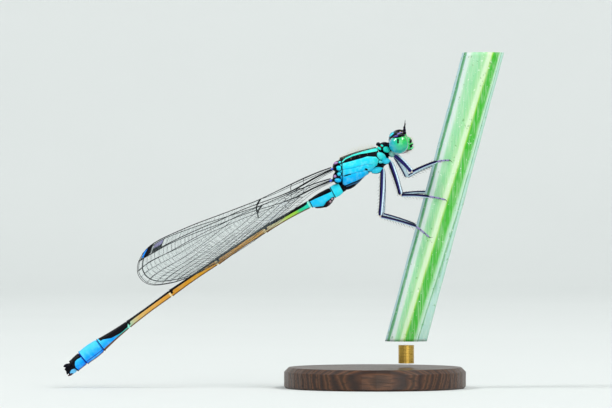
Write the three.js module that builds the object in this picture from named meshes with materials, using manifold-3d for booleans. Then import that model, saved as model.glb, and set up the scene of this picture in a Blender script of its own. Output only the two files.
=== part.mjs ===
// A male bluetail damselfly, life size, clinging to a short cut length of ridged plant stem
// with its wings closed over its back. The stem stands on a rod in a small round base.
//
// Millimetres. +X runs from the tail towards the head, +Z is up, and Y = 0 is the insect's
// plane of symmetry, with its right side at -Y. The origin is the centre of the base's underside.
import * as THREE from "three";
import { mergeVertices } from "three/addons/utils/BufferGeometryUtils.js";
import Module from "manifold-3d";

const wasm = await Module();
wasm.setup();

// Driving dimensions
const gap = 0.3; // between neighbouring nodes
const hipGap = 0.2; // round the hips, where the leg roots crowd together
const baseRadius = 7;
const baseHeight = 1.6;
const baseBevel = 0.35;
const rodRadius = 0.6;
const stemFoot = { x: 2.4, z: 3.6 }; // centre of the stem's lower cut
const stemHeight = 22.2; // from the lower cut to the top, straight up
const stemLean = 15; // degrees from the vertical, towards +X
const stemHalfWidth = 1.56; // in the insect's plane
const stemHalfDepth = 1.15; // across it
const thoraxCentre = { x: -1.17, z: 17.08 };
const thoraxPitch = 16.7; // degrees, head end up
const headCentre = { x: 1.8, z: 18.92 };
const headRoll = 10; // degrees, towards the insect's right
const eyeRadius = { x: 0.74, y: 0.78, z: 0.73 };
const eyeSpread = 1.1; // from the middle of the head to the middle of an eye
const abdomenStart = { x: -2.58, z: 15.42 };
const membrane = 0.42; // wing thickness between the veins
const ridge = 0.05; // how far a vein stands out of each face
const veinHalfWidth = 0.085;
const wingLean = 0.14; // how far a wing's hind edge stands outwards, for each millimetre across it

const sideNames = ["right", "left"];
const sideOf = { right: -1, left: 1 };

// Small geometry tools
const rad = THREE.MathUtils.degToRad;
const lerp = THREE.MathUtils.lerp;
const smooth = (x, a, b) => THREE.MathUtils.smoothstep(x, a, b);

// A closed mesh through rings of points, with a fan over each end.
function skin(rings) {
  const sides = rings[0].length;
  const points = rings.flat();
  const faces = [];
  rings.slice(1).forEach((ring, k) => {
    for (let i = 0; i < sides; i++) {
      const j = (i + 1) % sides;
      const [a, b, c, d] = [k * sides + i, k * sides + j, (k + 1) * sides + j, (k + 1) * sides + i];
      faces.push([a, b, c], [a, c, d]);
    }
  });
  for (const [ring, start, flip] of [[rings[0], 0, true], [rings.at(-1), points.length - sides, false]]) {
    const middle = points.length;
    points.push(ring.reduce((sum, p) => sum.add(p), new THREE.Vector3()).divideScalar(sides));
    for (let i = 0; i < sides; i++) {
      const [a, b] = [start + i, start + ((i + 1) % sides)];
      faces.push(flip ? [middle, b, a] : [middle, a, b]);
    }
  }
  return meshOf(points, faces);
}

// The mesh of a closed surface, with its faces turned to look outwards.
function meshOf(points, faces) {
  let volume = 0;
  for (const [a, b, c] of faces) volume += points[a].dot(points[b].clone().cross(points[c]));
  const g = new THREE.BufferGeometry();
  g.setAttribute("position", new THREE.Float32BufferAttribute(points.flatMap((p) => p.toArray()), 3));
  g.setIndex(faces.map((f) => (volume < 0 ? [...f].reverse() : f)).flat());
  return g;
}

function solid(geometry) {
  const g = geometry.clone();
  g.deleteAttribute("normal");
  g.deleteAttribute("uv");
  const merged = mergeVertices(g, 1e-5);
  const made = new wasm.Manifold(
    new wasm.Mesh({
      numProp: 3,
      vertProperties: new Float32Array(merged.attributes.position.array),
      triVerts: new Uint32Array(merged.index.array),
    }),
  );
  return made;
}

// The geometry of a solid's largest closed body.
function geometryOf(made) {
  const largest = made.decompose().sort((a, b) => b.volume() - a.volume())[0];
  const m = largest.getMesh();
  const g = new THREE.BufferGeometry();
  g.setAttribute("position", new THREE.BufferAttribute(new Float32Array(m.vertProperties), 3));
  g.setIndex(new THREE.BufferAttribute(new Uint32Array(m.triVerts), 1));
  return g;
}

const fuse = (...geometries) => geometries.map(solid).reduce((all, one) => all.add(one));
const carve = (made, ...geometries) =>
  geometries.map(solid).reduce((all, one) => all.subtract(one), made);

// An ellipsoid in the XZ plane's frame, turned about Y by tilt degrees.
function ellipsoid(x, y, z, rx, ry, rz, { around = 14, rings = 9, tilt = 0 } = {}) {
  const g = new THREE.SphereGeometry(1, around, rings);
  g.scale(rx, ry, rz);
  g.rotateY(-rad(tilt));
  g.translate(x, y, z);
  return g;
}

// A body section: a rounded ring across the body at (x, z), whose normal points along pitch
// degrees above +X. up, down and half are its reach to the back, to the belly and to each side.
function section({ x, z, pitch, up, down, half, power = 2.2, sides = 16 }) {
  const ring = [];
  const along = rad(pitch);
  for (let i = 0; i < sides; i++) {
    const a = (2 * Math.PI * i) / sides;
    const [c, s] = [Math.cos(a), Math.sin(a)];
    const side = half * Math.sign(c) * Math.abs(c) ** (2 / power);
    const rise = (s > 0 ? up : down) * Math.sign(s) * Math.abs(s) ** (2 / power);
    ring.push(new THREE.Vector3(x - rise * Math.sin(along), -side, z + rise * Math.cos(along)));
  }
  return ring;
}

// A limb: round rings along a path of {p, r} stations, each turned halfway between its stretches.
function limb(stations, sides = 8) {
  const points = stations.map((s) => s.p);
  let across = new THREE.Vector3(0, 1, 0);
  const rings = stations.map(({ p, r }, k) => {
    const before = k ? p.clone().sub(points[k - 1]).normalize() : null;
    const after = k < points.length - 1 ? points[k + 1].clone().sub(p).normalize() : null;
    const along = (before && after ? before.clone().add(after) : before || after).normalize();
    across = across.clone().addScaledVector(along, -across.dot(along)).normalize();
    const other = along.clone().cross(across);
    return Array.from({ length: sides }, (_, i) => {
      const a = (2 * Math.PI * i) / sides;
      return p.clone().addScaledVector(across, r * Math.cos(a)).addScaledVector(other, r * Math.sin(a));
    });
  });
  return skin(rings);
}

// Materials
const look = (color, roughness, metalness = 0, more = {}) =>
  new THREE.MeshStandardMaterial({ color, roughness, metalness, ...more });
const blueShell = look(0x2fc4ee, 0.35);
const paleShell = look(0x45d9e6, 0.35);
const blackShell = look(0x14141f, 0.3);
const orangeShell = look(0xd9a24a, 0.4);
const eyeShell = look(0x2fc98a, 0.15);
const legShell = look(0x3a3a5e, 0.4);
const wingMembrane = look(0xbfd3c4, 0.2, 0, { transparent: true, opacity: 0.45 });
const stemSkin = look(0x9fd69a, 0.55);
const walnut = look(0x4a2f1e, 0.45);
const brass = look(0xc9a04a, 0.3, 1);

const damselfly = new THREE.Group();
function add(name, geometry, material, parent = damselfly) {
  const mesh = new THREE.Mesh(geometry, material);
  mesh.name = name;
  parent.add(mesh);
  return mesh;
}

// Legs: one node each, from the coxa to the claws. A station is [x, y, z, radius] with y measured
// outwards; each side has its own list, since the near and the far legs don't bend quite alike.
const legRadius = { coxa: 0.25, femur: 0.26, knee: 0.24, tibia: 0.25, tarsus: 0.2, claw: 0.09 };
const hips = {
  fore: { coxa: [1.02, 0.3, 17.92], hip: [1.5, 0.42, 17.86] },
  mid: { coxa: [0.66, 0.48, 17.38], hip: [1.17, 0.66, 17.35] },
  hind: { coxa: [-0.2, 0.4, 16.54], hip: [0.6, 0.5, 16.81] },
};
const legs = {
  fore: {
    right: { knee: [2.82, 1.5, 16.6], ankle: [4.72, 1.62, 17.4], toe: [5.66, 1.5, 17.5] },
    left: { knee: [2.5, 1.5, 16.26], ankle: [4.62, 1.62, 17.25], toe: [5.5, 1.5, 17.32] },
  },
  mid: {
    right: { knee: [1.96, 1.7, 14.82], ankle: [4.1, 1.68, 14.72], toe: [5.34, 1.54, 14.48] },
    left: { knee: [2.04, 1.7, 14.92], ankle: [4.1, 1.68, 15.06], toe: [5.2, 1.54, 15.0] },
  },
  hind: {
    right: { knee: [0.38, 1.75, 13.2], ankle: [3.1, 1.6, 12.44], toe: [4.12, 1.5, 11.62] },
    left: { knee: [0.6, 1.75, 13.36], ankle: [3.1, 1.6, 12.56], toe: [4.2, 1.5, 11.9] },
  },
};

// The stations of a leg. extra widens it all round.
function legStations(pair, name, extra = 0) {
  const places = { ...hips[pair], ...legs[pair][name] };
  const [c, h, k, a, t] = ["coxa", "hip", "knee", "ankle", "toe"].map((joint) => {
    const [x, y, z] = places[joint];
    return new THREE.Vector3(x, sideOf[name] * y, z);
  });
  const { coxa: rc, femur: rf, knee: rk, tibia: rt, tarsus: ra, claw: rl } = legRadius;
  const between = (p, q, share, r) => ({ p: p.clone().lerp(q, share), r: r + extra });
  return [
    between(c, h, 0, rc * 0.8),
    between(c, h, 0.35, rc),
    between(c, h, 0.8, rc * 0.92),
    between(h, k, 0.04, rf),
    between(h, k, 0.35, rf * 1.04),
    between(h, k, 0.9, rk),
    between(h, k, 1, rk * 1.02),
    between(k, a, 0.1, rt),
    between(k, a, 0.55, rt * 0.95),
    between(k, a, 0.97, ra * 1.05),
    between(a, t, 0.3, ra * 0.9),
    between(a, t, 0.8, ra * 0.72),
    between(a, t, 1, rl),
  ];
}

// The room that the hips of the named pairs of legs need in the body.
function hipRoom(pairs) {
  return pairs.flatMap((pair) =>
    sideNames.map((name) => {
      const stations = legStations(pair, name, hipGap).slice(0, 5);
      const back = stations[0].p.clone().sub(stations[1].p).setLength(hipGap);
      return limb([{ p: stations[0].p.clone().add(back), r: stations[0].r }, ...stations], 8);
    }),
  );
}
for (const pair of Object.keys(legs)) {
  for (const name of sideNames) {
    add(pair + "leg_" + name, limb(legStations(pair, name)), legShell);
  }
}

// Synthorax: stations along its own axis, front end last. Each is [along, belly, back, half width].
const thoraxStations = [
  [-1.75, -0.7, 0.55, 0.45],
  [-1.57, -1.36, 0.8, 0.6],
  [-1.35, -1.46, 0.93, 0.76],
  [-0.85, -1.38, 1.03, 0.88],
  [-0.2, -1.1, 1.06, 0.92],
  [0.5, -0.78, 1.06, 0.9],
  [1.1, -0.5, 1.04, 0.8],
  [1.5, -0.28, 1.0, 0.68],
  [1.68, -0.05, 0.95, 0.54],
];
const inThorax = (along, rise) => ({
  x: thoraxCentre.x + along * Math.cos(rad(thoraxPitch)) - rise * Math.sin(rad(thoraxPitch)),
  z: thoraxCentre.z + along * Math.sin(rad(thoraxPitch)) + rise * Math.cos(rad(thoraxPitch)),
});

function synthorax() {
  const rings = thoraxStations.map(([along, belly, back, half]) =>
    section({
      ...inThorax(along, (belly + back) / 2),
      pitch: thoraxPitch,
      up: (back - belly) / 2,
      down: (back - belly) / 2,
      half,
      power: 2.5,
      sides: 20,
    }),
  );
  const pieces = [skin(rings)];
  // The keel between the wing bases and the head, the small plates in front of the mid legs, and
  // those that carry the wings.
  const crest = [[-1.15, 0.98], [-0.5, 0.99], [0.6, 0.99], [1.6, 0.97]];
  const keel = crest.map(([a, n], k) => ({ p: toPoint(inThorax(a, n)), r: k % 3 ? 0.13 : 0.08 }));
  pieces.push(limb(keel, 6));
  for (const side of [-1, 1]) {
    pieces.push(ellipsoid(0.36, side * 0.58, 17.74, 0.4, 0.24, 0.25, { tilt: -25 }));
    pieces.push(ellipsoid(-2.84, side * 0.56, 16.96, 0.27, 0.2, 0.22, { around: 10, rings: 7 }));
    pieces.push(ellipsoid(-2.8, side * 0.42, 16.1, 0.26, 0.18, 0.18, { around: 10, rings: 7 }));
  }
  return geometryOf(carve(fuse(...pieces), ...hipRoom(["fore", "mid", "hind"])));
}
const toPoint = ({ x, z }, y = 0) => new THREE.Vector3(x, y, z);

// Prothorax: the hind lobe, the body and the neck that carries the head.
function prothorax() {
  const stations = [
    [0.42, 18.36, 0.52, 0.3, 0.3],
    [0.5, 18.4, 0.64, 0.44, 0.36],
    [0.7, 18.46, 0.68, 0.42, 0.38],
    [0.9, 18.52, 0.52, 0.32, 0.34],
    [1.04, 18.58, 0.34, 0.22, 0.24],
  ];
  const rings = stations.map(([x, z, half, up, down]) => section({ x, z, pitch: 14, half, up, down }));
  return geometryOf(carve(solid(skin(rings)), ...hipRoom(["fore"])));
}

// Head: the capsule between the eyes, with brow, face, upper lip, mouth line and lower lip.
function head() {
  const ocelli = [[0.28, 0], [0.12, -0.16], [0.12, 0.16]];
  const capsule = fuse(
    ellipsoid(-0.06, 0, 0.0, 0.56, 1.12, 0.62, { around: 20, rings: 10 }),
    ellipsoid(0.1, 0, 0.36, 0.46, 0.8, 0.42, { around: 18 }),
    ellipsoid(0.58, 0, 0.08, 0.52, 0.6, 0.4, { around: 18 }),
    ellipsoid(0.72, 0, -0.34, 0.44, 0.48, 0.29, { around: 18, tilt: -12 }),
    ellipsoid(0.4, 0, -0.62, 0.42, 0.42, 0.24, { around: 16, tilt: 14 }),
    ...ocelli.map(([x, y]) => ellipsoid(x, y, 0.71, 0.09, 0.09, 0.1, { around: 8, rings: 5 })),
  );
  const mouth = solid(new THREE.BoxGeometry(0.7, 1.4, 0.07).rotateY(rad(12)).translate(1.0, 0, -0.6));
  const sockets = [-1, 1].map((side) => solid(eyeDome(side, gap)));
  return geometryOf(sockets.reduce((all, s) => all.subtract(s), capsule.subtract(mouth)));
}

// One eye, a dome with a flat inner face, or the room that it needs when it is grown by extra.
function eyeDome(side, extra = 0) {
  const inner = 0.62 - extra; // from the middle of the head to the flat face
  const rings = [];
  const steps = extra ? 7 : 9;
  for (let k = 0; k <= steps; k++) {
    const reach = Math.acos(Math.max(-1, (inner - eyeSpread) / (eyeRadius.y + extra)));
    const a = reach * (1 - k / steps) + 0.12 * (k / steps);
    const y = eyeSpread + (eyeRadius.y + extra) * Math.cos(a);
    const ring = [];
    for (let i = 0; i < 18; i++) {
      const b = (side * 2 * Math.PI * i) / 18;
      const [rx, rz] = [(eyeRadius.x + extra) * Math.sin(a), (eyeRadius.z + extra) * Math.sin(a)];
      ring.push(new THREE.Vector3(rx * Math.sin(b), side * y, rz * Math.cos(b)));
    }
    rings.push(ring);
  }
  return skin(rings);
}

// An antenna: two stout joints and a fine lash.
function antenna(side) {
  const root = new THREE.Vector3(0.48, side * 0.46, 0.8);
  const way = new THREE.Vector3(-0.02, side * 0.2, 1).normalize();
  const joints = [[0, 0.17], [0.14, 0.18], [0.22, 0.13], [0.38, 0.12], [0.46, 0.07]];
  const lash = [[0.66, 0.05], [0.88, 0.03]];
  const bend = new THREE.Vector3(0.12, side * 0.1, 0);
  const at = (l) => root.clone().addScaledVector(way, l).addScaledVector(bend, l * l);
  return limb([...joints, ...lash].map(([l, r]) => ({ p: at(l), r })));
}

const headGroup = new THREE.Group();
headGroup.position.set(headCentre.x, 0, headCentre.z);
headGroup.rotation.x = rad(headRoll);
damselfly.add(headGroup);
add("head", head(), paleShell, headGroup);
for (const name of sideNames) {
  add("eye_" + name, eyeDome(sideOf[name]), eyeShell, headGroup);
  add("antenna_" + name, antenna(sideOf[name]), blackShell, headGroup);
}
add("prothorax", prothorax(), blackShell);
add("synthorax", synthorax(), blueShell);

// Abdomen: ten segments from the thorax to the tail. Each has a length, a fall in degrees below the
// level, and the depth and width of its front, its middle and its rear.
const segments = [
  { length: 0.81, fall: 28.8, depth: [0.84, 0.92, 0.92], width: [0.8, 0.86, 0.84] },
  { length: 1.9, fall: 27.0, depth: [0.9, 0.9, 0.64], width: [0.82, 0.74, 0.62] },
  { length: 3.99, fall: 29.6, depth: [0.6, 0.5, 0.58], width: [0.56, 0.5, 0.56] },
  { length: 4.43, fall: 33.7, depth: [0.54, 0.5, 0.58], width: [0.54, 0.5, 0.56] },
  { length: 4.31, fall: 34.5, depth: [0.54, 0.5, 0.57], width: [0.54, 0.5, 0.56] },
  { length: 4.05, fall: 36.2, depth: [0.53, 0.5, 0.58], width: [0.54, 0.5, 0.57] },
  { length: 2.7, fall: 36.9, depth: [0.58, 0.78, 1.08], width: [0.58, 0.76, 1.0] },
  { length: 1.66, fall: 36.4, depth: [1.12, 1.26, 1.2], width: [1.04, 1.12, 1.1] },
  { length: 0.98, fall: 41.0, depth: [1.1, 1.1, 1.0], width: [1.04, 1.04, 0.96] },
  { length: 0.66, fall: 45.0, depth: [0.94, 0.86, 0.7], width: [0.9, 0.82, 0.66] },
];

function abdomen() {
  let { x, z } = abdomenStart;
  segments.forEach(({ length, fall, depth, width }, index) => {
    const way = { x: -Math.cos(rad(fall)), z: -Math.sin(rad(fall)) };
    const solidLength = length - gap;
    const rows = length > 2 ? [0, 0.03, 0.14, 0.45, 0.76, 0.94, 1] : [0, 0.12, 0.5, 0.85, 1];
    const rings = rows.map((share, k) => {
      const end = k === 0 || k === rows.length - 1 ? 0.94 : 1; // a small step in at each end
      const size = ([front, middle, rear]) => {
        const width = share < 0.5 ? lerp(front, middle, share * 2) : lerp(middle, rear, share * 2 - 1);
        return width / 2;
      };
      const reach = share * solidLength;
      return section({
        x: x + way.x * reach,
        z: z + way.z * reach,
        pitch: -180 + fall,
        up: -size(depth) * end,
        down: -size(depth) * end,
        half: size(width) * end,
        sides: 12,
      }).reverse();
    });
    const pieces = [skin(rings.reverse())];
    const at = (along, rise) => ({
      x: x + way.x * along - way.z * -rise,
      z: z + way.z * along + way.x * -rise,
    });
    if (index === 1) pieces.push(...matingOrgan(at, fall));
    if (index === 9) pieces.push(...tailPieces(at, fall, solidLength));
    const shell = index > 1 && index < 6 ? orangeShell : blueShell;
    add("abdomen_s" + (index + 1), geometryOf(fuse(...pieces)), shell);
    x += way.x * length;
    z += way.z * length;
  });
}

// The swelling under the second segment.
function matingOrgan(at, fall) {
  const middle = at(0.72, -0.46);
  const rear = at(1.2, -0.34);
  return [
    ellipsoid(middle.x, 0, middle.z, 0.5, 0.24, 0.27, { tilt: fall }),
    ellipsoid(rear.x, 0, rear.z, 0.3, 0.24, 0.22, { tilt: fall }),
  ];
}

// The forked hump on the last segment, and its two pairs of claspers.
function tailPieces(at, fall, length) {
  const end = length;
  const horns = [
    [[end * 0.2, 0.2, 0.12, 0.22], [end * 0.8, 0.42, 0.15, 0.16], [end + 0.2, 0.52, 0.17, 0.06]],
    [[end * 0.5, 0.08, 0.18, 0.17], [end + 0.22, 0.02, 0.2, 0.15], [end + 0.42, -0.1, 0.14, 0.06]],
    [[end * 0.5, -0.18, 0.16, 0.16], [end + 0.25, -0.26, 0.17, 0.13], [end + 0.46, -0.2, 0.2, 0.05]],
  ];
  const pieces = horns.flatMap((rows) =>
    [-1, 1].map((side) => limb(rows.map(([a, n, y, r]) => ({ p: toPoint(at(a, n), side * y), r })), 7)),
  );
  return pieces;
}
abdomen();

// Wings. The outline is drawn as four curves in the wing's own plane, [along, across] from the root,
// with across towards the hind edge: the front edge, the outer edge, the hind edge and the root.
const wingOutline = {
  front: [
    [0, -0.12], [0.9, -0.24], [1.8, -0.32], [3.0, -0.38], [4.6, -0.42], [6.1, -0.47], [7.7, -0.64],
    [9.0, -0.79], [11.0, -1.03], [12.6, -1.16], [14.05, -1.22], [15.0, -1.12], [15.7, -0.86],
  ],
  outer: [
    [15.7, -0.86], [16.3, -0.4], [16.64, 0.14], [16.7, 0.6], [16.56, 1.08], [16.2, 1.5], [15.6, 1.82],
    [14.5, 2.16], [13.3, 2.34], [12.2, 2.36],
  ],
  hind: [
    [0, 0.2], [0.85, 0.22], [2.1, 0.4], [3.95, 0.98],
    [6.15, 1.58], [8.35, 2.02], [10.35, 2.27], [12.2, 2.36],
  ],
};
const curveOf = (points) => new THREE.SplineCurve(points.map(([s, t]) => new THREE.Vector2(s, t)));
const edges = {
  front: curveOf(wingOutline.front),
  outer: curveOf(wingOutline.outer),
  hind: curveOf(wingOutline.hind),
};

// The point at share u of the length and share f from the front edge to the hind edge.
function inWing(u, f) {
  const front = edges.front.getPointAt(u);
  const hind = edges.hind.getPointAt(u);
  const outer = edges.outer.getPointAt(f);
  const [a, b] = [edges.front.getPoint(0), edges.hind.getPoint(0)];
  const root = a.clone().lerp(b, f);
  const [tip, heel] = [edges.front.getPoint(1), edges.hind.getPoint(1)];
  const sum = (k) =>
    (1 - f) * front[k] + f * hind[k] + (1 - u) * root[k] + u * outer[k] -
    ((1 - u) * ((1 - f) * a[k] + f * b[k]) + u * ((1 - f) * tip[k] + f * heel[k]));
  return new THREE.Vector2(sum("x"), sum("y"));
}

// Long veins: where each starts, and its share of the chord at the root, at the arculus, at the
// nodus and at the tip.
const arculus = 0.15;
const nodus = 0.38;
const longVeins = [
  { from: 0, f: [0, 0, 0, 0] },
  { from: 0, f: [0.5, 0.22, 0.13, 0.12] },
  { from: arculus, f: [0.5, 0.48, 0.3, 0.27] },
  { from: nodus, f: [0.5, 0.5, 0.46, 0.43] },
  { from: arculus, f: [0.75, 0.74, 0.62, 0.6] },
  { from: nodus, f: [0.8, 0.8, 0.8, 0.79] },
  { from: 0, f: [1, 1, 1, 1] },
];
function veinShare(vein, u) {
  const [root, inner, middle, tip] = longVeins[vein].f;
  if (u < arculus) return lerp(root, inner, u / arculus);
  if (u < nodus) return lerp(inner, middle, (u - arculus) / (nodus - arculus));
  return lerp(middle, tip, (u - nodus) / (1 - nodus));
}

// The cells of the wing: cross veins split each strip between two long veins. Cells share their corners.
const stretches = [
  { from: 0, to: arculus, cross: [0, 0] },
  { from: arculus, to: nodus, cross: [1, 1, 2, 1] },
  { from: nodus, to: 1, cross: [6, 5, 4, 4, 4, 3] },
];
const outerSteps = 18;

// stigma is the stretch of the front edge with the dark spot.
function venation(stigma) {
  const corners = [];
  const known = new Map();
  const corner = (u, f) => {
    const key = u.toFixed(4) + " " + f.toFixed(4);
    if (!known.has(key)) known.set(key, corners.push(inWing(u, f)) - 1);
    return known.get(key);
  };
  const onVein = longVeins.map(() => new Set());
  const strips = [];
  for (const { from, to, cross } of stretches) {
    const veins = longVeins.map((_, i) => i).filter((i) => longVeins[i].from <= from + 1e-9);
    veins.slice(1).forEach((lower, k) => {
      const upper = veins[k];
      const stagger = k % 2 ? 0.5 : 0.72;
      const breaks = [from, to];
      for (let c = 1; c <= cross[k]; c++) breaks.push(lerp(from, to, (c - 1 + stagger) / cross[k]));
      const marked = to === 1 && k === 0;
      const kept = breaks.filter((u) => !marked || u < stigma.from - 0.03 || u === 1);
      if (marked) kept.push(stigma.from, stigma.to);
      kept.sort((p, q) => p - q);
      kept.forEach((u) => [upper, lower].forEach((v) => onVein[v].add(u)));
      kept.slice(1).forEach((q, n) => strips.push({ upper, lower, p: kept[n], q, to }));
    });
  }
  const between = (vein, p, q) => {
    const inside = [...onVein[vein]].filter((u) => u > p + 1e-9 && u < q - 1e-9);
    return inside.sort((a, b) => a - b);
  };
  const cells = strips.map(({ upper, lower, p, q }) => {
    const loop = [corner(p, veinShare(upper, p))];
    between(upper, p, q).forEach((u) => loop.push(corner(u, veinShare(upper, u))));
    const [f0, f1] = [veinShare(upper, q), veinShare(lower, q)];
    loop.push(corner(q, f0));
    const across = q === 1
      ? Array.from({ length: outerSteps - 1 }, (_, i) => (i + 1) / outerSteps)
      : longVeins.flatMap((v, i) => (Math.abs(v.from - q) < 1e-9 ? [veinShare(i, q)] : []));
    const nearest = q === 1 ? 0.35 / outerSteps : 1e-6;
    across.filter((f) => f > f0 + nearest && f < f1 - nearest).forEach((f) => loop.push(corner(q, f)));
    loop.push(corner(q, f1));
    between(lower, p, q).reverse().forEach((u) => loop.push(corner(u, veinShare(lower, u))));
    loop.push(corner(p, veinShare(lower, p)));
    return { loop, raised: upper === 0 && Math.abs(p - stigma.from) < 1e-9 };
  });
  return { corners, cells };
}

// Each cell's floor, pulled in from its veins by their half width, or less in a narrow cell.
function floorOf(loop, corners) {
  const ring = loop.map((i) => corners[i]);
  const count = ring.length;
  const area = THREE.ShapeUtils.area(ring);
  const turn = Math.sign(area);
  let round = 0;
  ring.forEach((p, i) => (round += p.distanceTo(ring[(i + 1) % count])));
  const pull = Math.min(veinHalfWidth, (0.45 * 2 * Math.abs(area)) / round);
  return ring.map((p, i) => {
    const before = p.clone().sub(ring[(i + count - 1) % count]).normalize();
    const after = ring[(i + 1) % count].clone().sub(p).normalize();
    const inward = ({ x, y }) => new THREE.Vector2(-y * turn, x * turn);
    const sum = inward(before).add(inward(after));
    return p.clone().addScaledVector(sum, pull / Math.max(0.6, 1 + inward(before).dot(inward(after))));
  });
}

// A wing. root is its hinge, fall its slope below the level and scale its size; outward is the
// distance of its middle line from the plane of symmetry, and hingeOut that of its hinge.
function wing(side, { root, fall, scale, outward, hingeOut, stigma }) {
  const { corners, cells } = venation(stigma);
  const points = [];
  const faces = [];
  const place = (flat, face, stand) => {
    const [s, t] = [flat.x * scale, flat.y * scale];
    const taper = lerp(1, 0.62, smooth(flat.x, 12, 17));
    const blade = lerp(hingeOut, outward + wingLean * t, smooth(s, 0, 1.9));
    return new THREE.Vector3(
      root.x - s * Math.cos(rad(fall)) + t * Math.sin(rad(fall)),
      side * (blade + face * taper * (membrane / 2 + stand)),
      root.z - s * Math.sin(rad(fall)) - t * Math.cos(rad(fall)),
    );
  };
  const vein = [-1, 1].map((face) => corners.map((c) => points.push(place(c, face, ridge)) - 1));
  const seen = new Map();
  for (const { loop, raised } of cells) {
    const floor = floorOf(loop, corners);
    const centre = floor.reduce((sum, p) => sum.add(p), new THREE.Vector2()).divideScalar(floor.length);
    const turn = THREE.ShapeUtils.area(floor) > 0;
    [-1, 1].forEach((face, f) => {
      const low = floor.map((p) => points.push(place(p, face, raised ? ridge : 0)) - 1);
      const middle = points.push(place(centre, face, raised ? ridge : 0)) - 1;
      const high = loop.map((i) => vein[f][i]);
      const out = (turn ? 1 : -1) * face * side > 0;
      const put = (...tri) => faces.push(out ? tri.reverse() : tri);
      low.forEach((_, i) => {
        const j = (i + 1) % low.length;
        put(high[i], high[j], low[j]);
        put(high[i], low[j], low[i]);
        put(low[i], low[j], middle);
      });
    });
    loop.forEach((a, i) => {
      const b = loop[(i + 1) % loop.length];
      const key = Math.min(a, b) + " " + Math.max(a, b);
      seen.set(key, seen.has(key) ? null : [a, b]);
    });
  }
  const rightWay = THREE.ShapeUtils.area(cells[0].loop.map((i) => corners[i])) > 0;
  for (const edge of [...seen.values()].filter(Boolean)) {
    const [a, b] = rightWay === side > 0 ? [...edge].reverse() : edge;
    faces.push([vein[0][a], vein[0][b], vein[1][b]], [vein[0][a], vein[1][b], vein[1][a]]);
  }
  return meshOf(points, faces);
}

const wings = {
  forewing: {
    root: { x: -3.31, z: 16.85 }, fall: 27.3, scale: 1.013,
    outward: 1.32, hingeOut: 0.72, stigma: { from: 0.915, to: 0.983 },
  },
  hindwing: {
    root: { x: -3.36, z: 16.0 }, fall: 24.3, scale: 0.962,
    outward: 0.52, hingeOut: 0.48, stigma: { from: 0.875, to: 0.945 },
  },
};
for (const [pair, spec] of Object.entries(wings)) {
  for (const name of sideNames) {
    add(pair + "_" + name, wing(sideOf[name], spec), wingMembrane);
  }
}

// Stem: an oval with shallow ridges along it, cut level at both ends.
function stem() {
  const count = 36;
  const rings = [0, 0.5, 1].map((share) => {
    const rise = stemHeight * share;
    const centre = stemFoot.x + rise * Math.tan(rad(stemLean));
    return Array.from({ length: count }, (_, i) => {
      const a = (2 * Math.PI * i) / count;
      const ribs = 1 - 0.035 * (0.5 + 0.5 * Math.cos(9 * a));
      const x = centre + (stemHalfWidth / Math.cos(rad(stemLean))) * ribs * Math.cos(a);
      return new THREE.Vector3(x, stemHalfDepth * ribs * Math.sin(a), stemFoot.z + rise);
    });
  });
  return skin(rings);
}
add("perch_stem", stem(), stemSkin);

// Stand: a round base with a bevelled rim, and one rod up to the stem's lower cut.
function turned(profile, x = 0) {
  const g = new THREE.LatheGeometry(profile.map(([r, z]) => new THREE.Vector2(r, z)), 40);
  return g.rotateX(Math.PI / 2).translate(x, 0, 0);
}
add(
  "stand_base",
  geometryOf(
    solid(
      turned([[0, 0], [baseRadius - 0.15, 0], [baseRadius, 0.15], [baseRadius, baseHeight - baseBevel],
        [baseRadius - baseBevel, baseHeight], [0, baseHeight]]),
    ),
  ),
  walnut,
);
add(
  "stand_rod",
  new THREE.CylinderGeometry(rodRadius, rodRadius, stemFoot.z - baseHeight - 2 * gap, 20)
    .rotateX(Math.PI / 2)
    .translate(stemFoot.x, 0, (stemFoot.z + baseHeight) / 2),
  brass,
);

export default damselfly;
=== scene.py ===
# The looks of a male bluetail damselfly on a cut stem, on its display stand.
import math

import bpy
import numpy as np
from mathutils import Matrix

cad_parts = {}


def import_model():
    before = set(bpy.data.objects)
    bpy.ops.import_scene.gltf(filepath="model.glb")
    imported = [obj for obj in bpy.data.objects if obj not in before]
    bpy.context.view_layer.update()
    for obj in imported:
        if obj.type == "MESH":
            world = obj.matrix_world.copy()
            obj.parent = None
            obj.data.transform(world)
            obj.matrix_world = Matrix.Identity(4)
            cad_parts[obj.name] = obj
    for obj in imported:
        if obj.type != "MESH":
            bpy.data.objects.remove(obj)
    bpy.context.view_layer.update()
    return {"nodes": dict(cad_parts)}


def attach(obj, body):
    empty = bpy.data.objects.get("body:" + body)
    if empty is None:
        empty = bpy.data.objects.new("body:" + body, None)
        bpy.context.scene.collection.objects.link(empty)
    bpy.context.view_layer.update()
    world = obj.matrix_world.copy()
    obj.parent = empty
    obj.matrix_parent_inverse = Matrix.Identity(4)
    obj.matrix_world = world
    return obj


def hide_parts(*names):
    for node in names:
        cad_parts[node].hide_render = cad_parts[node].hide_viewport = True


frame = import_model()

rng = np.random.default_rng(7)

# Sizes are in millimetres until a mesh is made. The camera and the markings are placed by pixels of
# the 612 by 408 photograph, PX of them to a millimetre; (PX_X, PX_Z) is the pixel of the origin.
MM = 0.001
PX = 13.0
PX_X = 375.0
PX_Z = 388.0
PHOTO = (612, 408)
SIDES = {"left": 1, "right": -1}


def plane(points):
    """Pixels of the photograph as (x, z) in the insect's plane of symmetry."""
    p = np.asarray(points, float)
    return np.stack([(p[..., 0] - PX_X) / PX, (PX_Z - p[..., 1]) / PX], -1)


def unit(v):
    v = np.asarray(v, float)
    return v / np.maximum(np.linalg.norm(v, axis=-1, keepdims=True), 1e-12)


def ease(x, a, b):
    t = np.clip((np.asarray(x, float) - a) / (b - a), 0, 1)
    return t * t * (3 - 2 * t)


def turns(count):
    return np.linspace(0, 2 * math.pi, count, endpoint=False)


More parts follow.
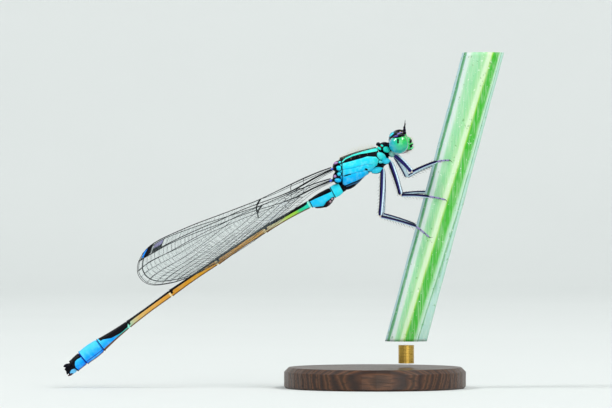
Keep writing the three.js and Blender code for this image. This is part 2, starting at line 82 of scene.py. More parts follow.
def rounded(wave, power):
    """A cosine or sine reshaped for a superellipse of that power."""
    return np.sign(wave) * np.abs(wave) ** (2 / power)


def through(xs, ys, x):
    """A smooth curve through the points (xs, ys), read at x."""
    xs, ys = np.asarray(xs, float), np.asarray(ys, float)
    slope = np.gradient(ys, xs)
    k = np.clip(np.searchsorted(xs, x) - 1, 0, len(xs) - 2)
    w = xs[k + 1] - xs[k]
    t = np.clip((x - xs[k]) / w, 0, 1)
    t2, t3 = t * t, t * t * t
    start, end = ys[k], ys[k + 1]
    return (
        (2 * t3 - 3 * t2 + 1) * start + (t3 - 2 * t2 + t) * w * slope[k]
        + (3 * t2 - 2 * t3) * end + (t3 - t2) * w * slope[k + 1]
    )


def near(line, p):
    """The distance in mm of each (x, z) in p from a line through pixels of the photograph."""
    a = plane(line)
    best = np.full(len(p), 1e9)
    for (ax, az), (bx, bz) in zip(a[:-1], a[1:]):
        dx, dz = bx - ax, bz - az
        t = np.clip(((p[:, 0] - ax) * dx + (p[:, 1] - az) * dz) / (dx * dx + dz * dz), 0, 1)
        best = np.minimum(best, np.hypot(p[:, 0] - ax - t * dx, p[:, 1] - az - t * dz))
    return best


def inside(polygon, p):
    """How far in mm each (x, z) in p lies inside a patch drawn in pixels, and less than 0 outside it."""
    a = plane(polygon)
    odd = np.zeros(len(p), bool)
    for (ax, az), (bx, bz) in zip(a, np.roll(a, -1, 0)):
        if az != bz:
            crosses = (az > p[:, 1]) != (bz > p[:, 1])
            odd ^= crosses & (p[:, 0] < (p[:, 1] - az) * (bx - ax) / (bz - az) + ax)
    edge = near([*polygon, polygon[0]], p)
    return np.where(odd, edge, -edge)


# Materials
def linear(code):
    """A colour written as in a web page, as linear red, green, blue and alpha."""
    parts = [int(code[i : i + 2], 16) / 255 for i in (1, 3, 5)]
    return [c / 12.92 if c < 0.04045 else ((c + 0.055) / 1.055) ** 2.4 for c in parts] + [1.0]


class Shade:
    """A material being made, with a short call for each kind of node it needs."""

    def __init__(self, name, **values):
        self.mat = bpy.data.materials.new(name)
        self.mat.use_nodes = True
        self.tree = self.mat.node_tree
        self.bsdf = self.tree.nodes["Principled BSDF"]
        for key, value in values.items():
            self.bsdf.inputs[key.replace("_", " ")].default_value = value

    def put(self, socket, what):
        if hasattr(what, "links"):
            self.tree.links.new(what, socket)
        else:
            socket.default_value = what

    def node(self, kind, *links, **values):
        n = self.tree.nodes.new("ShaderNode" + kind)
        for key, value in values.items():
            setattr(n, key, value)
        for where, what in links:
            self.put(n.inputs[where], what)
        return n

    def field(self, name):
        return self.node("Attribute", attribute_name=name).outputs["Fac"]

    def scaled(self, stretch=(1, 1, 1)):
        """Places on the model in millimetres, stretched if need be."""
        place = self.node("TexCoord").outputs["Object"]
        return self.node("Mapping", ("Vector", place), ("Scale", [s / MM for s in stretch])).outputs[0]

    def noise(self, scale, detail=3.0, stretch=(1, 1, 1)):
        """Cloudy noise from 0 to 1; scale counts its lumps in a millimetre."""
        links = (("Vector", self.scaled(stretch)), ("Scale", scale), ("Detail", detail))
        return self.node("TexNoise", *links).outputs["Fac"]

    def cells(self, scale):
        return self.node("TexVoronoi", ("Vector", self.scaled()), ("Scale", scale)).outputs["Distance"]

    def rings(self, scale, distortion, stretch):
        """Bands like the year rings of sawn wood."""
        place = ("Vector", self.scaled(stretch))
        links = (place, ("Scale", scale), ("Distortion", distortion), ("Detail", 3.0))
        return self.node("TexWave", *links, wave_type="RINGS").outputs["Fac"]

    def between(self, value, low, high, to=(0.0, 1.0)):
        """The value's stretch from low to high, spread over that of to."""
        ends = (("From Min", low), ("From Max", high), ("To Min", to[0]), ("To Max", to[1]))
        return self.node("MapRange", ("Value", value), *ends).outputs["Result"]

    def ramp(self, value, stops):
        n = self.node("ValToRGB", ("Fac", value))
        spare = n.color_ramp.elements
        while len(spare) < len(stops):
            spare.new(0.5)
        for element, (where, code) in zip(spare, stops):
            element.position = where
            element.color = linear(code)
        return n.outputs["Color"]

    def mix(self, factor, a, b):
        n = self.node("Mix", data_type="RGBA")
        for where, what in ((0, factor), (6, a), (7, b)):
            self.put(n.inputs[where], linear(what) if isinstance(what, str) else what)
        return n.outputs[2]

    def sum(self, a, b):
        return self.node("Math", (0, a), (1, b), operation="ADD").outputs[0]

    def mark(self, colour, field, paint, soft=0.015):
        """paint laid over colour where the field is above 0."""
        return self.mix(self.between(self.field(field), -soft, soft), colour, paint)

    def set(self, **links):
        for key, value in links.items():
            self.tree.links.new(value, self.bsdf.inputs[key.replace("_", " ")])
        return self

    def bump(self, height, depth):
        """Relief from a height of 0 to 1 that stands for depth in mm."""
        n = self.node("Bump", ("Height", height), ("Distance", depth * MM), ("Strength", 1.0))
        self.tree.links.new(n.outputs[0], self.bsdf.inputs["Normal"])
        return self


BLACK = "#02020a"
DARK_BLOOM = "#1c2034"
SHELL_GLOSS = {"IOR": 1.45, "Specular_IOR_Level": 0.09, "Coat_Weight": 0.02, "Coat_Roughness": 0.12}
# The least and most roughness of a pitted surface, and how many pits it has in a millimetre
BODY_ROUGHNESS = (0.27, 0.44)
ANTENNA_ROUGHNESS = (0.33, 0.5)
LEG_ROUGHNESS = (0.3, 0.48)
PITS = 38.0


def pitted(s, colour, marks, roughness, depth):
    """The painted marks over a colour, and a finely pitted surface, its pits depth mm deep."""
    for field, ink in marks:
        colour = s.mark(colour, field, ink)
    pits = s.noise(PITS, 2.0)
    s.set(Base_Color=colour, Roughness=s.between(pits, 0.3, 0.7, roughness))
    return s.bump(pits, depth).mat


def shell(name, paint, marks, roughness=BODY_ROUGHNESS, bloom="#a4f2f6", mottling=0.3):
    """Horny insect shell: a base colour with a mottled bloom, under painted marks."""
    s = Shade(name, **SHELL_GLOSS)
    mottled = s.between(s.noise(3.4, 4.0), 0.46, 0.72, (0.0, mottling))
    return pitted(s, s.mix(mottled, paint(s), bloom), marks, roughness, 0.006)


def leg_shell(name, paint, marks):
    """Leg shell: as the body's, with a dark bloom in finer mottles."""
    s = Shade(name, **SHELL_GLOSS)
    mottled = s.between(s.noise(7.0), 0.5, 0.7, (0.0, 0.2))
    return pitted(s, s.mix(mottled, paint(s), "#1a1640"), marks, LEG_ROUGHNESS, 0.005)


def clouded(lumps, one, other):
    """A paint that drifts between two colours, in that many lumps to a millimetre."""
    def paint(s):
        return s.mix(s.noise(lumps), one, other)
    return paint


def two_tone(name, lumps, one, other, **values):
    """A plain material that drifts between two colours."""
    s = Shade(name, **values)
    return s.set(Base_Color=clouded(lumps, one, other)(s))


# Meshes
def made_object(name, data):
    thing = bpy.data.objects.new(name, data)
    bpy.context.scene.collection.objects.link(thing)
    return thing


def mesh_of(name, points, faces):
    mesh = bpy.data.meshes.new(name)
    mesh.from_pydata(np.asarray(points, float).tolist(), [], [list(map(int, f)) for f in faces])
    mesh.update()
    return mesh


def piece(name, points, faces, material, fields=None, replaces=(), uv=None):
    mesh = mesh_of(name, np.asarray(points) * MM, faces)
    for key, values in (fields or {}).items():
        mesh.attributes.new(key, "FLOAT", "POINT").data.foreach_set("value", np.asarray(values, "f"))
    if uv is not None:
        layer = mesh.uv_layers.new(name="OFBake")
        corners = np.empty(len(mesh.loops), int)
        mesh.loops.foreach_get("vertex_index", corners)
        layer.data.foreach_set("uv", np.asarray(uv, "f")[corners].ravel())
    mesh.polygons.foreach_set("use_smooth", [True] * len(mesh.polygons))
    mesh.materials.append(material)
    made = made_object(name, mesh)
    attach(made, "root")
    if replaces:
        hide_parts(*replaces)
    return made


def outward(points, faces):
    """The faces turned, if need be, so that the closed surface looks outwards."""
    quads = np.array([[*f, f[-1]][:4] for f in faces])
    a, b, c, d = (points[quads[:, i]] for i in range(4))
    volume = np.einsum("ij,ij->", a, np.cross(b, c)) + np.einsum("ij,ij->", a, np.cross(c, d))
    return points, [f[::-1] for f in faces] if volume < 0 else faces


def skin(rings):
    """Points and faces of a closed skin through rings of points, with a fan over each end."""
    rings = np.asarray(rings, float)
    rows, cols = rings.shape[:2]
    k = np.arange(rows - 1)[:, None] * cols
    i = np.arange(cols)[None, :]
    j = (i + 1) % cols
    faces = np.stack([k + i, k + j, k + cols + j, k + cols + i], -1).reshape(-1, 4).tolist()
    points = np.vstack([rings.reshape(-1, 3), rings[0].mean(0), rings[-1].mean(0)])
    first, last, top = rows * cols, rows * cols + 1, (rows - 1) * cols
    faces += [[first, (c + 1) % cols, c] for c in range(cols)]
    faces += [[last, top + c, top + (c + 1) % cols] for c in range(cols)]
    return outward(points, faces)


def joined(parts):
    """Several (points, faces, fields) as one."""
    points, faces, fields, start = [], [], {}, 0
    for p, f, named in parts:
        points.append(p)
        faces += [[i + start for i in face] for face in f]
        start += len(p)
        for key, values in named.items():
            fields.setdefault(key, []).append(np.broadcast_to(values, (len(p),)))
    return np.vstack(points), faces, {key: np.concatenate(v) for key, v in fields.items()}


def melted(parts, voxel, passes):
    """One closed skin over several closed forms that overlap, with its creases eased passes times."""
    points, faces, _ = joined([(*part, {}) for part in parts])
    rough = made_object("melting", mesh_of("melting", points, faces))
    remesh = rough.modifiers.new("melting", "REMESH")
    remesh.mode = "VOXEL"
    remesh.voxel_size = voxel
    evaluated = rough.evaluated_get(bpy.context.evaluated_depsgraph_get())
    done = evaluated.to_mesh()
    points = np.empty(len(done.vertices) * 3)
    done.vertices.foreach_get("co", points)
    points = points.reshape(-1, 3)
    faces = [list(f.vertices) for f in done.polygons]
    ends = np.array([tuple(e.vertices) for e in done.edges])
    evaluated.to_mesh_clear()
    bpy.data.objects.remove(rough)
    ends = np.vstack([ends, ends[:, ::-1]])
    count = np.bincount(ends[:, 0], minlength=len(points))[:, None]
    for _ in range(passes):
        total = np.zeros_like(points)
        np.add.at(total, ends[:, 0], points[ends[:, 1]])
        points = (points + total / count) / 2
    return points, faces


def normals(points, faces):
    quads = np.array([[*f, f[-1]][:4] for f in faces])
    a, b, c, d = (points[quads[:, i]] for i in range(4))
    area = np.cross(c - a, d - b)
    total = np.zeros_like(points)
    for i in range(4):
        np.add.at(total, quads[:, i], area)
    return unit(total)


def turned(p, tilt):
    """Points turned in the insect's plane by tilt degrees, head end up."""
    c, s = math.cos(math.radians(tilt)), math.sin(math.radians(tilt))
    return np.stack([p[..., 0] * c - p[..., 2] * s, p[..., 1], p[..., 0] * s + p[..., 2] * c], -1)


def ellipsoid(lump, rows=18, cols=26):
    """The closed surface of a lump, given as its centre, its radii and its tilt in degrees."""
    centre, radii, tilt = lump
    u = np.linspace(0.05, math.pi - 0.05, rows)[:, None]
    a = turns(cols)[None]
    p = np.stack([np.cos(u) + 0 * a, np.sin(u) * np.cos(a), np.sin(u) * np.sin(a)], -1) * radii
    return skin(turned(p, tilt) + centre)


def beyond(lump, p):
    """About how far each point of p lies outside a lump, in mm."""
    centre, radii, tilt = lump
    q = turned(p - centre, -tilt) / radii
    k = np.linalg.norm(q, axis=1) + 1e-6
    return (k - 1) * k / (np.linalg.norm(q / radii, axis=1) + 1e-6)


def both_sides(lumps):
    """Each lump of the left side, and the same on the right."""
    return [((x, side * y, z), radii, tilt) for (x, y, z), radii, tilt in lumps for side in SIDES.values()]


def spot_lump(spot, long, wide, high, tilt, out=0):
    """A lump centred on a pixel and out mm to the side: its half sizes in mm and its tilt."""
    x, z = plane(spot)
    return (x, out, z), (long, wide, high), tilt


def frames(path, across=(0, 1, 0)):
    """Two directions square to a path at each of its points, turning as little as they can."""
    path = np.asarray(path, float)
    along = unit(np.gradient(path, axis=0))
    one = np.empty_like(along)
    last = np.asarray(across, float)
    for k, way in enumerate(along):
        last = unit(last - way * last.dot(way))
        one[k] = last
    return one, np.cross(along, one)


def tube_rings(path, radius, sides):
    """Round rings along a path."""
    one, two = frames(path)
    a = turns(sides)[None, :, None]
    radius = np.broadcast_to(radius, (len(path),))[:, None, None]
    return np.asarray(path)[:, None] + radius * (np.cos(a) * one[:, None] + np.sin(a) * two[:, None])


# Half the size of each hair's patch on the OFBake map, and how much of its width a hair loses by its tip
HAIR_PATCH = 0.0015
HAIR_TAPER = 0.85


def hairs(roots, ways, lengths, width, root_uv, droop=0.0, sides=3, steps=4):
    """Tapered hairs that bend: their points, their faces and their places on the OFBake map."""
    roots, ways = np.asarray(roots, float), unit(ways)
    side = unit(np.cross(ways, np.where(np.abs(ways[:, 2:]) > 0.9, [[1, 0, 0]], [[0, 0, 1]])))
    other = np.cross(ways, side)
    lengths = np.asarray(lengths)[:, None]
    rings, patch = [], []
    for share in np.linspace(0, 1, steps)[:-1]:
        middle = roots + (ways * share + np.array([0, 0, -droop]) * share**2) * lengths
        for a in turns(sides):
            reach = width * (1 - HAIR_TAPER * share) / 2
            rings.append(middle + (side * math.cos(a) + other * math.sin(a)) * reach)
            patch.append((HAIR_PATCH * math.cos(a), HAIR_PATCH * (2 * share - 1)))
    rings.append(roots + (ways + np.array([0, 0, -droop])) * lengths)
    patch.append((0, HAIR_PATCH))
    points = np.stack(rings, 1)
    each = points.shape[1]
    faces = [list(range(sides))[::-1]]
    for row in range(steps - 2):
        for c in range(sides):
            d = (c + 1) % sides
            low, high = row * sides, (row + 1) * sides
            faces.append([low + c, low + d, high + d, high + c])
    top = (steps - 2) * sides
    faces += [[top + c, top + (c + 1) % sides, each - 1] for c in range(sides)]
    every = [[i + n * each for i in f] for n in range(len(roots)) for f in faces]
    uv = np.asarray(root_uv, float)[:, None] + np.array(patch)[None]
    return points.reshape(-1, 3), every, uv.reshape(-1, 2)


# Camera, light and floor
VIEW_AWAY = 350.0
SENSOR = 36.0
view_width = PHOTO[0] / PX
view_x, view_z = plane((PHOTO[0] / 2, PHOTO[1] / 2))


def camera():
    data = bpy.data.cameras.new("camera")
    data.sensor_width = SENSOR
    data.lens = SENSOR * VIEW_AWAY / view_width
    data.clip_start = 0.01
    eye_point = made_object("camera", data)
    eye_point.location = (view_x * MM, -VIEW_AWAY * MM, view_z * MM)
    eye_point.rotation_euler = (math.pi / 2, 0, 0)
    bpy.context.scene.camera = eye_point


def light(name, way, away, size, power):
    """A soft box, away mm off towards way, that faces the insect."""
    data = bpy.data.lights.new(name, "AREA")
    data.size = size * MM
    data.energy = power
    lamp = made_object(name, data)
    x, y, z = unit(way)
    lamp.location = [(c * away + m) * MM for c, m in zip((x, y, z), (view_x, 0, view_z))]
    lamp.rotation_euler = (math.atan2(math.hypot(x, y), z), 0, math.atan2(x, -y))


# The floor in mm: how far it reaches to each side and to the front, where behind the model it starts to
# bend up, the radius of that bend, and how high the backdrop rises
FLOOR_REACH = 1500.0
BEND_START = 390.0
BEND_RADIUS = 320.0
BACKDROP_TOP = 1000.0


def stage():
    """A pale floor that curves up into a backdrop behind the model."""
    arc = np.linspace(0, math.pi / 2, 24)
    bend = [(BEND_START + BEND_RADIUS * math.sin(a), BEND_RADIUS - BEND_RADIUS * math.cos(a)) for a in arc]
    line = [(-FLOOR_REACH, 0.0), *bend, (BEND_START + BEND_RADIUS, BACKDROP_TOP)]
    points = [(x, y, z) for x in (-FLOOR_REACH, FLOOR_REACH) for y, z in line]
    n = len(line)
    mesh = mesh_of("floor", np.array(points) * MM, [[i, i + 1, n + i + 1, n + i] for i in range(n - 1)])
    mesh.polygons.foreach_set("use_smooth", [True] * (n - 1))
    paper = two_tone("studio_paper", 0.02, "#dadedc", "#dee2e0", Roughness=0.9, Specular_IOR_Level=0.2)
    mesh.materials.append(paper.bump(paper.noise(1.5), 0.01).mat)
    made_object("floor", mesh)


def world():
    studio = bpy.data.worlds.new("studio")
    studio.use_nodes = True
    sky = studio.node_tree.nodes["Background"]
    sky.inputs["Color"].default_value = linear("#eef3f6")
    sky.inputs["Strength"].default_value = 0.42
    bpy.context.scene.world = studio
    bpy.context.scene.view_settings.view_transform = "Standard"


camera()
stage()
world()
light("sky_behind", (-0.64, -0.15, 0.76), away=1000, size=300, power=4.2)
light("sky_ahead", (0.54, -0.25, 0.79), away=1000, size=360, power=4.4)
light("front_fill", (0.3, -0.9, 0.3), away=1200, size=1300, power=9.5)


# Synthorax: stations along its own axis, as [along, belly, back, half width]
THORAX = (-1.17, 17.08)
THORAX_PITCH = 16.7
THORAX_STATIONS = np.array([
    (-1.75, -0.7, 0.55, 0.45), (-1.57, -1.36, 0.8, 0.6), (-1.35, -1.46, 0.93, 0.76),
    (-0.85, -1.38, 1.03, 0.88), (-0.2, -1.1, 1.06, 0.92), (0.5, -0.78, 1.06, 0.9),
    (1.1, -0.5, 1.04, 0.8), (1.5, -0.28, 1.0, 0.68), (1.68, -0.05, 0.95, 0.54),
])
THORAX_POWER = 2.5
# The keel along its back: where it runs along the axis, how high, its radius and its stations
KEEL_RUN = (-1.3, 1.6)
KEEL_RISE = 0.99
KEEL_RADIUS = 0.14
KEEL_STATIONS = 24
# Small plates round its ends: pixel, half length, thickness and height in mm, tilt in degrees, how far
# out they sit, and what they are painted with
THORAX_PLATES = [
    ((381, 156.3), 0.42, 0.34, 0.28, -28, 0.54, "pale"), ((380.4, 162), 0.16, 0.2, 0.12, 0, 0.6, "pale"),
    ((335.8, 163.3), 0.19, 0.22, 0.1, 20, 0.5, "rosy"), ((339.8, 162.5), 0.12, 0.2, 0.1, 0, 0.56, "pale"),
    ((338.7, 168.2), 0.23, 0.24, 0.19, 0, 0.6, "pale"), ((339.1, 174.1), 0.17, 0.24, 0.14, 0, 0.56, "pale"),
    ((334.9, 176.2), 0.12, 0.22, 0.12, 0, 0.5, "rosy"), ((337.8, 180.3), 0.27, 0.26, 0.17, -8, 0.48, "pale"),
    ((332.3, 169.1), 0.15, 0.15, 0.085, 20, 0.68, "violet"),
    ((331.2, 180.6), 0.15, 0.15, 0.1, 20, 0.46, "violet"), ((351, 185.9), 0.52, 0.3, 0.19, 28, 0.22, "dusky"),
]
# Dark shell that carries those plates: pixel, half length, width and height in mm, tilt in degrees
THORAX_CORES = [
    ((337.8, 166.8), 0.4, 0.62, 0.46, 0), ((337.9, 177.6), 0.4, 0.54, 0.5, 0),
    ((334.2, 169), 0.32, 0.78, 0.12, 10), ((333.3, 180.4), 0.3, 0.56, 0.13, 10),
    ((382.4, 157.4), 0.5, 0.56, 0.46, -30), ((380.2, 163), 0.5, 0.56, 0.3, 0),
    ((376.4, 167.6), 0.62, 0.46, 0.34, 20), ((343.5, 187), 0.3, 0.5, 0.2, 0),
]
# The markings of its side in pixels of the photograph
HUMERAL_EDGE = [
    (392, 156), (384, 160), (376, 156.9), (370.7, 156.6), (367.2, 156.4), (361.3, 158.3), (355.4, 159.9),
    (349.5, 161.6), (342.5, 163.3), (334, 165),
]
HUMERAL_BLACK = [(326, 130), (386, 130), *HUMERAL_EDGE]
ANTEHUMERAL = [
    (341.8, 161.9), (343.5, 159.7), (345.6, 157.9), (352.6, 154.7), (359.7, 152.4), (366.9, 150.3),
    (374, 148.6), (378.4, 148.1), (379.2, 149.7), (376.9, 151.1), (369.7, 152.6), (359.7, 154.2),
    (352.6, 156.2), (345.4, 159.3), (342.4, 162.5),
]
DASH = [(343.2, 176), (347, 174.5), (351.4, 173.8), (350.6, 174.8), (347, 176), (344, 176.7)]
SPOT = [(364.2, 168.9), (366, 168.2), (367.9, 169.6), (367.4, 171), (365.4, 170.3)]
LOWER_END = [(368.5, 171.4), (370.2, 171.6), (370.9, 174.7), (368.6, 175)]
HIND_SUTURE = [(343, 176.2), (351, 174.3), (358, 172.4), (367, 170.7), (369.6, 173)]
FRONT_SUTURE = [(342, 169.6), (350, 168.8), (358, 166.8), (366, 164.8), (372, 165)]
LOWER_EDGE = [
    (342, 187.4), (347, 185.5), (352.5, 183.2), (357, 181.5), (361.3, 179.5), (365, 177.2), (371, 173.8),
]
REAR_EDGE = [(341.6, 163.4), (341.9, 170), (341.9, 178), (342, 187.4)]
BELOW = [*LOWER_EDGE, (374, 200), (330, 200), (330, 188)]
# The grooves of its side with their depths in mm, and how wide all are
THORAX_GROOVES = (
    (HIND_SUTURE, 0.05), (FRONT_SUTURE, 0.025), (LOWER_EDGE, 0.05), (REAR_EDGE, 0.04),
    (HUMERAL_EDGE[2:], 0.03),
)
GROOVE_WIDTH = 0.06
# How far the pale stripes keep from the keel, and how far markings run up on the plates, in mm
STRIPE_FROM_KEEL = 0.24
ONTO_PLATES = 0.02


def thorax_place(along, rise):
    p = turned(np.stack([along, 0 * along, rise], -1), THORAX_PITCH)
    return THORAX[0] + p[..., 0], THORAX[1] + p[..., 2]


def thorax_form(along):
    """The belly, back and half width of the synthorax at points along its axis."""
    return (through(THORAX_STATIONS[:, 0], THORAX_STATIONS[:, k], along) for k in (1, 2, 3))


def thorax_loft():
    along = np.linspace(THORAX_STATIONS[0, 0], THORAX_STATIONS[-1, 0], 80)[:, None]
    belly, back, half = thorax_form(along)
    a = turns(72)[None]
    y = half * rounded(np.cos(a), THORAX_POWER)
    rise = (belly + back) / 2 + (back - belly) / 2 * rounded(np.sin(a), THORAX_POWER)
    x, z = thorax_place(along + 0 * a, rise)
    return skin(np.stack([x, y, z], -1))


def in_thorax(p):
    """Points as (along, rise) in the synthorax's own frame."""
    own = turned(p - np.array([THORAX[0], 0, THORAX[1]]), -THORAX_PITCH)
    return own[:, 0], own[:, 2]


def beyond_thorax(p):
    along, rise = in_thorax(p)
    belly, back, half = thorax_form(along)
    high = (back - belly) / 2
    k = (np.abs(p[:, 1]) / half) ** THORAX_POWER + (np.abs(rise - (belly + back) / 2) / high) ** THORAX_POWER
    ends = np.maximum(THORAX_STATIONS[0, 0] - along, along - THORAX_STATIONS[-1, 0])
    return np.maximum((k ** (1 / THORAX_POWER) - 1) * np.minimum(half, high), ends)


def thorax_lumps(ink):
    return both_sides([spot_lump(*row) for *row, painted in THORAX_PLATES if painted == ink])


def crease(distances, width):
    """More than 0 where two of the forms in a skin meet."""
    return width - np.sort(np.abs(distances), axis=0)[1]


def keel():
    """The low ridge along the middle of its back."""
    along = np.linspace(*KEEL_RUN, KEEL_STATIONS)
    x, z = thorax_place(along, KEEL_RISE + 0 * along)
    swell = np.sin(np.linspace(0.5, 2.7, KEEL_STATIONS))
    return skin(tube_rings(np.stack([x, 0 * x, z], -1), KEEL_RADIUS * swell, 14))


def thorax_hues_and_top_light(s):
    """Sky blue below, through turquoise to green-blue above and ahead; lighter above as painted top light."""
    # The shell's own blues, lighter towards the top as painted top light.
    down = s.ramp(
        s.between(s.field("rise"), -1.3, 0.8),
        [(0, "#04a2f8"), (0.3, "#08b8fc"), (0.5, "#14ccf4"), (0.8, "#26dcee"), (1, "#44e8e8")],
    )
    green = s.between(s.field("front"), -0.9, 0.1, (0.0, 0.7))
    base = s.mix(green, down, "#24dcd4")
    base = s.mix(s.between(s.noise(1.1, 2.0), 0.5, 0.75, (0.0, 0.4)), base, "#08bcfc")
    return s.mark(base, "faint", "#0c86c8", 0.03)


def synthorax():
    inks = ("pale", "rosy", "violet", "dusky", "dark")
    groups = [*(thorax_lumps(ink) for ink in inks[:-1]), [spot_lump(*row) for row in THORAX_CORES]]
    forms = [thorax_loft(), keel(), *(ellipsoid(lump) for group in groups for lump in group)]
    points, faces = melted(forms, voxel=0.03, passes=3)
    side = points[:, [0, 2]]
    sunk = sum(depth * np.exp(-((near(line, side) / GROOVE_WIDTH) ** 2)) for line, depth in THORAX_GROOVES)
    points = points - normals(points, faces) * sunk[:, None]
    lumps = [[beyond(lump, points) for lump in group] for group in groups]
    each = np.array([beyond_thorax(points), *(np.min(group, axis=0) for group in lumps)])
    own = {ink: np.delete(each, k + 1, 0).min(0) - each[k + 1] for k, ink in enumerate(inks)}
    off_plates = ONTO_PLATES - each[0] + each[1:].min(0)
    off_keel = np.abs(points[:, 1]) - STRIPE_FROM_KEEL
    fields = {
        "black": np.minimum(inside(HUMERAL_BLACK, side), off_plates),
        "stripe": np.minimum.reduce([inside(ANTEHUMERAL, side), off_keel, off_plates]),
        "dash": np.max([inside(patch, side) for patch in (DASH, SPOT, LOWER_END)], axis=0),
        "seam": np.maximum(0.045 - near(LOWER_EDGE, side), 0.035 - near(REAR_EDGE, side)),
        "faint": 0.02 - np.minimum(near(FRONT_SUTURE, side), near(HIND_SUTURE, side)),
        "below": inside(BELOW, side),
        "crease": crease(np.array([each[0], *(d for group in lumps for d in group)]), width=0.05),
        "rise": in_thorax(points)[1],
        "front": points[:, 0],
        **own,
    }
    marks = (
        ("below", "#2a5a80"), ("dash", BLACK), ("black", BLACK), ("stripe", "#46ecdc"), ("rosy", "#b48cc4"),
        ("violet", "#4a58d8"), ("dusky", "#16307a"), ("dark", BLACK), ("seam", BLACK), ("crease", BLACK),
    )
    look = shell("thorax_shell", thorax_hues_and_top_light, marks)
    piece("synthorax_skin", points, faces, look, fields, ("synthorax",))


# Prothorax: black knobs above, blue-green lobes at the sides, and the neck
COLLAR_BLACK = [
    ((0.66, 0, 18.46), (0.46, 0.58, 0.38), 14), ((0.24, 0, 18.76), (0.17, 0.42, 0.15), 20),
    ((0.68, 0, 18.76), (0.3, 0.46, 0.17), 10), ((1.02, 0, 18.6), (0.3, 0.42, 0.3), 14),
    ((1.24, 0, 18.56), (0.34, 0.36, 0.34), 10), ((1.12, 0, 18.1), (0.34, 0.34, 0.3), 0),
]
COLLAR_PALE = [
    ((0.83, 0.4, 18.36), (0.34, 0.3, 0.24), -30), ((0.56, 0.46, 18.6), (0.17, 0.16, 0.1), -40),
    ((0.33, 0.44, 18.42), (0.19, 0.2, 0.11), -30),
]

# The red-brown dot behind the eye: its pixel and its radius in mm
SPECK = (380.4, 146.6)
SPECK_RADIUS = 0.05


def prothorax():
    pale = both_sides(COLLAR_PALE)
    points, faces = melted([ellipsoid(lump) for lump in (*COLLAR_BLACK, *pale)], voxel=0.024, passes=3)
    from_dark = np.min([beyond(lump, points) for lump in COLLAR_BLACK], axis=0)
    from_pale = [beyond(lump, points) for lump in pale]
    fields = {
        "pale": from_dark - np.min(from_pale, axis=0),
        "crease": crease(np.array([from_dark, *from_pale]), width=0.045),
        "speck": SPECK_RADIUS - np.linalg.norm(points[:, [0, 2]] - plane(SPECK), axis=1),
    }
    marks = (("pale", "#2adcc8"), ("crease", BLACK), ("speck", "#b83a3a"))
    look = shell("prothorax_shell", clouded(3.0, BLACK, "#0c0e1a"), marks, bloom=DARK_BLOOM)
    piece("prothorax_skin", points, faces, look, fields, ("prothorax",))


# Abdomen: ten segments from the thorax to the tail, each with its length, its fall in degrees below
# the level, and the depth and width of its front, middle and rear
ABDOMEN_START = np.array([-2.58, 0, 15.42])
SEGMENTS = [
    (0.81, 28.8, (0.76, 0.98, 0.9), (0.72, 0.88, 0.82)),
    (1.9, 27.0, (0.9, 0.88, 0.64), (0.82, 0.74, 0.62)),
    (3.99, 29.6, (0.6, 0.5, 0.58), (0.56, 0.48, 0.54)),
    (4.43, 33.7, (0.54, 0.48, 0.58), (0.52, 0.48, 0.54)),
    (4.31, 34.5, (0.53, 0.48, 0.57), (0.52, 0.48, 0.54)),
    (4.05, 36.2, (0.52, 0.49, 0.58), (0.52, 0.48, 0.56)),
    (2.7, 36.9, (0.56, 0.76, 1.08), (0.56, 0.74, 1.0)),
    (1.66, 36.4, (1.12, 1.24, 1.18), (1.04, 1.12, 1.1)),
    (0.98, 41.0, (1.1, 1.08, 1.0), (1.04, 1.02, 0.96)),
    (0.66, 45.0, (0.92, 0.84, 0.66), (0.88, 0.8, 0.62)),
]
LENGTHS = [row[0] for row in SEGMENTS]
STARTS = np.concatenate([[0], np.cumsum(LENGTHS)])
# Where the skin is sampled near a joint, in mm from it; further off its stations are PLAIN_STEP apart
NEAR_JOINT = np.array([0.015, 0.04, 0.07, 0.1, 0.14, 0.19, 0.25, 0.33])
JOINT_REACH = 0.4
PLAIN_STEP = 0.09


def fall_way(fall):
    """The directions along the abdomen, towards the tail, and up from it."""
    c, s = math.cos(math.radians(fall)), math.sin(math.radians(fall))
    return np.array([-c, 0, -s]), np.array([-s, 0, c])


def joint_places():
    places = [ABDOMEN_START]
    for length, fall, _, _ in SEGMENTS:
        places.append(places[-1] + fall_way(fall)[0] * length)
    return np.array(places)


def segment_stops(length):
    """The places of the skin's stations along one segment, in mm from its front."""
    plain = np.linspace(JOINT_REACH, length - JOINT_REACH, max(2, int(length / PLAIN_STEP)))
    plain = plain[(plain > 0.34) & (plain < length - 0.34)]
    stops = np.unique(np.round([*NEAR_JOINT, *plain, *(length - NEAR_JOINT)], 4))
    return stops[(stops > 0) & (stops < length)]


def abdomen_rings():
    """The stations along the abdomen: how far along, half the width and depth, and the segment."""
    rows = []
    for n, (length, _, depth, width) in enumerate(SEGMENTS):
        stops = segment_stops(length)
        half = through([0, 0.5, 1], width, stops / length) / 2
        deep = through([0, 0.5, 1], depth, stops / length) / 2
        # Each segment flares a little at its rear edge, and slips under that of the one before.
        flare = 1 + 0.06 * np.exp(-(((length - stops - 0.03) / 0.09) ** 2)) * (n < 9)
        slip = 1 - 0.14 * np.exp(-(((stops - 0.015) / 0.06) ** 2)) * (n > 0)
        size = flare * slip
        rows += list(zip(STARTS[n] + stops, half * size, deep * size, np.full(len(stops), n)))
    return np.array(rows).T


# How far the front of the abdomen is sunk in the thorax, and how much the second segment bulges below
ABDOMEN_SUNK = 0.55
SECOND_BULGE = 0.2
# How square its cross section is; 2 would be an ellipse
ABDOMEN_POWER = 2.2
